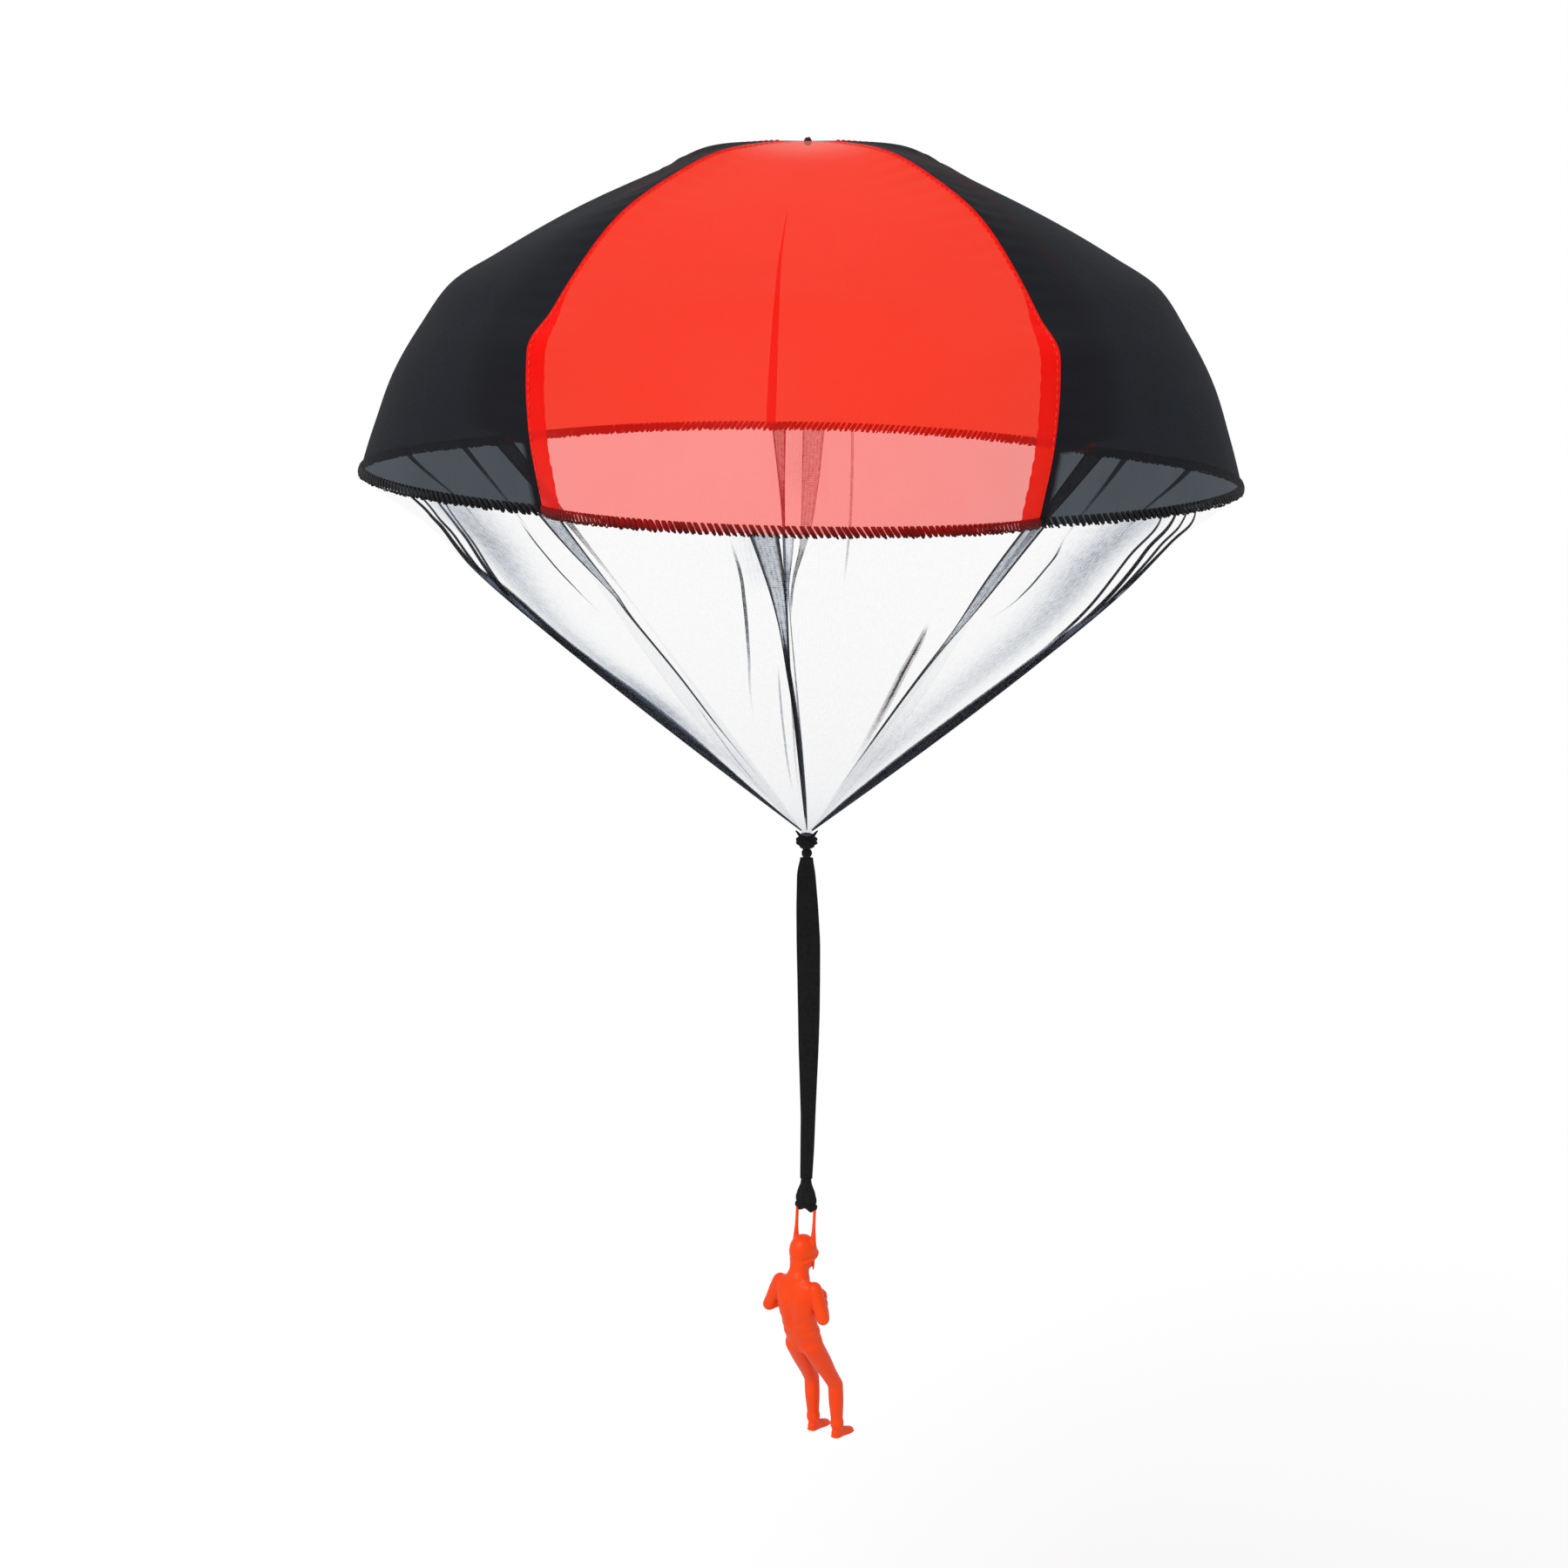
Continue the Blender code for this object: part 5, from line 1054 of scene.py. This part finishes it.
def bodyParts():
    # every closed body of the moulding, as stacks of rings in mm; the remesh joins them into one skin
    f = figure
    parts = []
    # the bail: a rod up one side, over the bar and down the other
    half, turn = f["barSpacing"] / 2, np.linspace(0, pi / 2, 9)
    corner = np.stack([f["barCorner"] - half - f["barCorner"] * np.cos(turn), 0 * turn,
                       f["barCorner"] * (np.sin(turn) - 1)], -1)
    root = -f["headTop"] - 5.2
    side = [(-half, 0, root), (-half, 0, root * 0.55 - f["headTop"] * 0.45), (-half, 0, -f["headTop"] * 0.8),
            (-half, 0, -f["headTop"] / 2)]
    left = np.concatenate([side, corner])
    path = np.concatenate([left, left[::-1] * [-1, 1, 1]])
    size = np.full(len(path), 2 * f["barRadius"])
    size[[0, -1]], size[[1, -2]], size[[2, -3]] = 3.6, 3.0, 2.0
    parts.append(ovalRings(path, size, size, 20, (0, 1, 0)))
    # helmet with a rolled rim, tipped back over the brow
    axis = np.array([0, math.sin(f["tilt"]), -math.cos(f["tilt"])])
    middle = np.array([0, -f["headBack"], -f["headTop"] - f["helmetHeight"] / 2])
    table = [(-1, 0.14), (-0.95, 0.34), (-0.82, 0.58), (-0.6, 0.80), (-0.3, 0.95), (0, 1), (0.27, 0.98),
             (0.31, 1.06), (0.42, 1.05), (0.45, 0.95)]
    place, wide = smoothCurve(table, np.linspace(0, 1, 40)).T
    parts.append(ovalRings(middle + np.outer(place * f["helmetHeight"] / 2, axis), wide * f["headWidth"],
                           wide * f["headLength"], 48))
    # face: ovals from brow to chin, then nose, brows, cheeks, lips and chin as small bodies, all plain
    table = [(0.25, -0.02, 0.74, 0.74), (0.50, 0, 0.83, 0.83), (0.58, -0.01, 0.80, 0.78), (0.70, 0, 0.78, 0.81),
             (0.84, 0.02, 0.66, 0.74), (0.94, 0.05, 0.50, 0.60), (1, 0.06, 0.26, 0.32)]
    down, forward, wide, deep = smoothCurve(table, np.linspace(0, 1, 30)).T
    path = np.stack([0 * down, forward * f["headLength"] - f["headBack"],
                     -f["headTop"] - down * f["headHeight"]], -1)
    parts.append(ovalRings(path, wide * f["headWidth"], deep * f["headLength"], 48))
    front = float((path[:, 1] + deep * f["headLength"] / 2)[8:24].min())
    level = lambda share: -f["headTop"] - share * f["headHeight"]
    parts.append(limb([(0, front - 0.7, level(0.48), 1.1, 1.1), (0, front + 0.5, level(0.57), 2.0, 2.0),
                       (0, front + 0.3, level(0.61), 2.5, 1.8)], 9, 16))
    for s in (-1, 1):
        parts.append(limb([(s * 0.9, front - 0.1, level(0.50), 1.1, 1.0),
                           (s * 3.6, front - 1.0, level(0.51), 0.9, 0.9)], 7, 12, (0, 0, 1)))
        parts.append(limb([(s * 2.9, front - 1.2, level(0.62), 2.6, 2.4),
                           (s * 3.4, front - 1.9, level(0.68), 2.2, 2.0)], 6, 16))
        parts.append(limb([(s * 5.5, 0.6, level(0.5), 1.2, 2.2), (s * 5.2, 1.6, level(0.78), 0.9, 1.7),
                           (s * 3.2, 4.2, level(0.97), 0.8, 1.5)], 12, 14))
    parts.append(limb([(-1.7, front - 0.8, level(0.75), 0.9, 0.9), (0, front - 0.35, level(0.745), 1.2, 1.0),
                       (1.7, front - 0.8, level(0.75), 0.9, 0.9)], 9, 12, (0, 0, 1)))
    parts.append(limb([(0, front - 1.5, level(0.93), 4.0, 2.6), (0, front - 1.2, level(0.90), 3.0, 2.2)], 5,
                      18))
    # neck with a raised collar
    parts.append(limb([(0, -2.9, middle[2], 9.6, 9.6), (0, -f["shoulderBack"], -f["shoulderDrop"] - 4.8, 9.6,
                                                        9.6)], 12, 36))
    parts.append(limb([(0, -3.6, -34.2, 10.6, 10.4), (0, -4.3, -37.2, 13.2, 11.6)], 6, 40))
    # torso: shoulders, waist and hips, with a furrow and shoulder blades behind, a belt and a shirt's hem
    table = [(0, -0.36, 0.44, 0.62), (0.045, -0.42, 0.93, 0.72), (0.11, -0.45, 1.08, 0.86),
             (0.25, -0.42, 1.02, 1), (0.43, -0.30, 0.92, 0.95),
             (0.60, -0.10, 0.82, 0.84), (0.75, 0.18, 0.85, 0.86), (0.90, 0.45, 0.87, 0.88),
             (1, 0.62, 0.58, 0.66)]
    down, forward, wide, deep = smoothCurve(table, np.linspace(0, 1, 90)).T
    path = np.stack([0 * down, forward * f["sway"], -f["shoulderDrop"] - down * f["torsoLength"]], -1)
    belt = 0.75 * ease(0.57, 0.585, down) * ease(0.65, 0.635, down)
    shirt = 0.9 * ease(0.65, 0.68, down) * ease(0.76, 0.745, down)
    rings = ovalRings(path, wide * f["chestWidth"] + belt + shirt, deep * f["chestDepth"] + belt + shirt, 72,
                      fullness=0.9)
    x, behind = rings[..., 0], rings[..., 1] < path[:, None, 1]
    furrow = 1.3 * np.exp(-((x / 2.2) ** 2)) * ease(0.03, 0.14, down)[:, None] * ease(0.62, 0.5, down)[:, None]
    blades = 0.7 * np.exp(-(((np.abs(x) - 5.2) / 2.6) ** 2)) * np.exp(-(((down - 0.24) / 0.09) ** 2))[:, None]
    seat = 0.9 * np.exp(-((x / 1.3) ** 2)) * ease(0.78, 0.9, down)[:, None]
    breast = 0.8 * np.exp(-(((np.abs(x) - 4.6) / 3.4) ** 2)) * np.exp(-(((down - 0.2) / 0.07) ** 2))[:, None]
    placket = 0.5 * np.exp(-((x / 0.9) ** 4)) * ease(0.05, 0.1, down)[:, None] * ease(0.58, 0.56, down)[:, None]
    rumples = 0.22 * np.sin(x * 0.9 + 60 * down[:, None]) * ease(0.42, 0.5, down)[:, None] * ease(0.6, 0.55,
                                                                                                  down)[:, None]
    rings[..., 1] += np.where(behind, furrow - blades + seat - rumples, breast + placket + rumples)
    parts.append(rings)
    for s in (-1, 1):
        # arms: shoulder, elbow out to the side, fist in front of the chest, with a rolled cuff
        shoulder = np.array([s * (f["shoulderWidth"] - 7.4) / 2, -f["shoulderBack"], -f["shoulderDrop"] - 3.7])
        elbow = np.array([s * 17.0, -f["shoulderBack"], -f["shoulderDrop"] - 21 + 3.3])
        hand = np.array([s * 6.0, 9.0, -f["shoulderDrop"] - 11])
        at = lambda a, b, k: a + (b - a) * k
        parts.append(limb([(*shoulder, 7.6, 7.8), (*at(shoulder, elbow, 0.35), 7.5, 7.6),
                           (*at(shoulder, elbow, 0.7), 6.7, 6.9), (*elbow, 6.6, 6.6)], 22, 32))
        parts.append(limb([(*elbow, 6.6, 6.6), (*at(elbow, hand, 0.25), 6.5, 6.3),
                           (*at(elbow, hand, 0.6), 5.0, 4.9), (*at(elbow, hand, 0.74), 4.5, 4.4),
                           (*at(elbow, hand, 0.86), 5.3, 5.6), (*hand, 5.4, 5.8)], 28, 30))
        parts.append(limb([(*at(elbow, hand, 0.60), 5.9, 5.8), (*at(elbow, hand, 0.66), 5.9, 5.8)], 4, 28))
        for k in (-1.5, -0.5, 0.5, 1.5):
            knuckle = hand + np.array([-s * 1.2, 2.0, k * 1.35])
            parts.append(limb([(*knuckle, 1.5, 1.5), (*(knuckle + np.array([-s * 1.8, -0.6, 0])), 1.5, 1.5)],
                              4, 12, (0, 0, 1)))
        # legs: thigh forwards, shin nearly upright, trouser cuff, boot with a sole and heel
        hip = np.array([s * 5.2, 4.0, -f["shoulderDrop"] - 37.2])
        knee = hip + 30.8 * np.array([0, math.sin(math.radians(37)), -math.cos(math.radians(37))])
        knee[0] = s * 7.6
        ankle = knee + 27 * np.array([0, math.sin(math.radians(8)), -math.cos(math.radians(8))])
        parts.append(limb([(*hip, 11.2, 11.4), (*at(hip, knee, 0.4), 10.2, 10.0),
                           (*at(hip, knee, 0.8), 8.0, 8.0), (*knee, 7.7, 7.8)], 28, 40))
        parts.append(limb([(*(knee + [0, 1.5, 0.6]), 5.2, 4.6), (*(knee + [0, 1.3, -1.8]), 4.8, 4.2)], 6, 24))
        parts.append(limb([(*knee, 7.7, 7.8), (*at(knee, ankle, 0.35), 7.5, 7.8),
                           (*at(knee, ankle, 0.7), 6.2, 6.4), (*ankle, 5.3, 5.5)], 26, 36))
        parts.append(limb([(*at(knee, ankle, 0.78), 7.0, 7.0), (*at(knee, ankle, 0.84), 6.9, 6.9)], 4, 32))
        sole = ankle[2] - 2.5
        table = np.array([(0.10, 0.84, 0.94), (0.28, 0.92, 1.0), (0.45, 0.86, 0.92), (0.65, 1.0, 0.74),
                          (0.86, 0.9, 0.58)])
        boot = np.stack([np.full(5, ankle[0]), ankle[1] - 2.9 + table[:, 0] * 15.5, sole + table[:, 2] * 2.5,
                         table[:, 1] * 5.8, table[:, 2] * 5], -1)
        parts.append(limb(boot, 24, 32))
        tread = np.stack([np.full(4, ankle[0]), ankle[1] - 2.9 + np.array([0.06, 0.4, 0.7, 0.93]) * 15.5,
                          np.full(4, sole + 0.35), np.array([5.4, 5.2, 6.4, 5.2]), np.full(4, 1.3)], -1)
        parts.append(limb(tread, 16, 28))
    return parts


def makeFigure():
    # all bodies in one mesh, joined by a voxel remesh and relaxed, as a mould's rounded corners are
    points, faces = joined(bodyParts())
    rough = makePiece("roughFigure", points * mm, faces, orangePlastic)
    skin = rough.modifiers.new("skin", "REMESH")
    skin.mode, skin.voxel_size, skin.use_smooth_shade = "VOXEL", figure["voxel"], True
    relax = rough.modifiers.new("relax", "SMOOTH")
    relax.factor, relax.iterations = 0.5, figure["smooth"]
    mesh = bpy.data.meshes.new_from_object(rough.evaluated_get(bpy.context.evaluated_depsgraph_get()))
    bpy.data.objects.remove(rough)
    mesh.transform(Matrix.Translation((0, 0, hitch["axis"])) @ Matrix.Rotation(figure["turn"], 4,
                                                                               "Z") @ Matrix.Rotation(figure["hang"], 4, "X"))
    mesh.name = "moulded_figure"
    mesh.materials.clear()
    mesh.materials.append(orangePlastic)
    mesh.shade_smooth()
    print("figure's triangles:", 2 * len(mesh.polygons))
    return settle(bpy.data.objects.new("moulded_figure", mesh), "figure", "figure")


makeFigure()
print("figure made")

# the angles that each net panel spans, read one panel at a time
for gore, (piece, area) in nets.items():
    start, end = goreSpan[gore]

room = {"floor": -1.3, "half": 8.0, "ambient": 0.6, "lift": 0.10, "sun": 1.9, "sunAngle": math.radians(28),
        "sunTilt": (math.radians(46), 0, math.radians(-25)), "camera": (-0.0112, -1.5, 0.0223),
        "pitch": math.radians(12.528), "lens": 71.9, "clip": (0.01, 50)}


def paintedFloor(add, s):
    # pale matt paint that only the camera sees a little brighter, so that shadows stay on it
    paint = add("BsdfDiffuse", {}, {"Color": "#F2F2F2"})
    glow = add("Emission", {}, {"Color": "#FFFFFF", "Strength": s["lift"]})
    none = add("BsdfTransparent", {}, {"Color": (0, 0, 0, 1)})
    lift = add("MixShader", {}, {0: add("LightPath", out="Is Camera Ray"), 1: none, 2: glow})
    return add("AddShader", {}, {0: paint, 1: lift})


def makeRoom():
    # a floor, a white surround that the camera and mirrored rays see full and light comes from in part, a sun, a camera
    corners = [(x * room["half"], y * room["half"], room["floor"]) for x,
               y in ((-1, -1), (1, -1), (1, 1), (-1, 1))]
    makePiece("pale_floor", corners, [[0, 1, 2, 3]], makeMaterial("paintedFloor", paintedFloor, room))
    scene = bpy.context.scene
    scene.world = bpy.data.worlds.new("studio")
    scene.world.use_nodes = True
    tree = scene.world.node_tree
    tree.nodes.clear()
    shown = addNode(tree, "LightPath", out="Is Camera Ray")
    for kind in ("Is Glossy Ray", "Is Transmission Ray"):
        shown = addNode(tree, "Math", {"operation": "MAXIMUM"},
                        {0: shown, 1: addNode(tree, "LightPath", out=kind)})
    strength = addNode(tree, "MapRange", {}, {"Value": shown, "To Min": room["ambient"], "To Max": 1.0})
    background = addNode(tree, "Background", {}, {"Color": "#FFFFFF", "Strength": strength})
    addNode(tree, "OutputWorld", {}, {"Surface": background})
    sun = bpy.data.lights.new("key", "SUN")
    sun.energy, sun.angle = room["sun"], room["sunAngle"]
    key = bpy.data.objects.new("key", sun)
    key.rotation_euler = room["sunTilt"]
    lens = bpy.data.cameras.new("camera")
    lens.lens, lens.sensor_width, (lens.clip_start, lens.clip_end) = room["lens"], 36, room["clip"]
    camera = bpy.data.objects.new("camera", lens)
    camera.location = room["camera"]
    camera.rotation_euler = (pi / 2 - room["pitch"], 0, 0)
    for item in (key, camera):
        scene.collection.objects.link(item)
    scene.camera = camera
    scene.view_settings.view_transform = "Standard"


makeRoom()
print("room made")
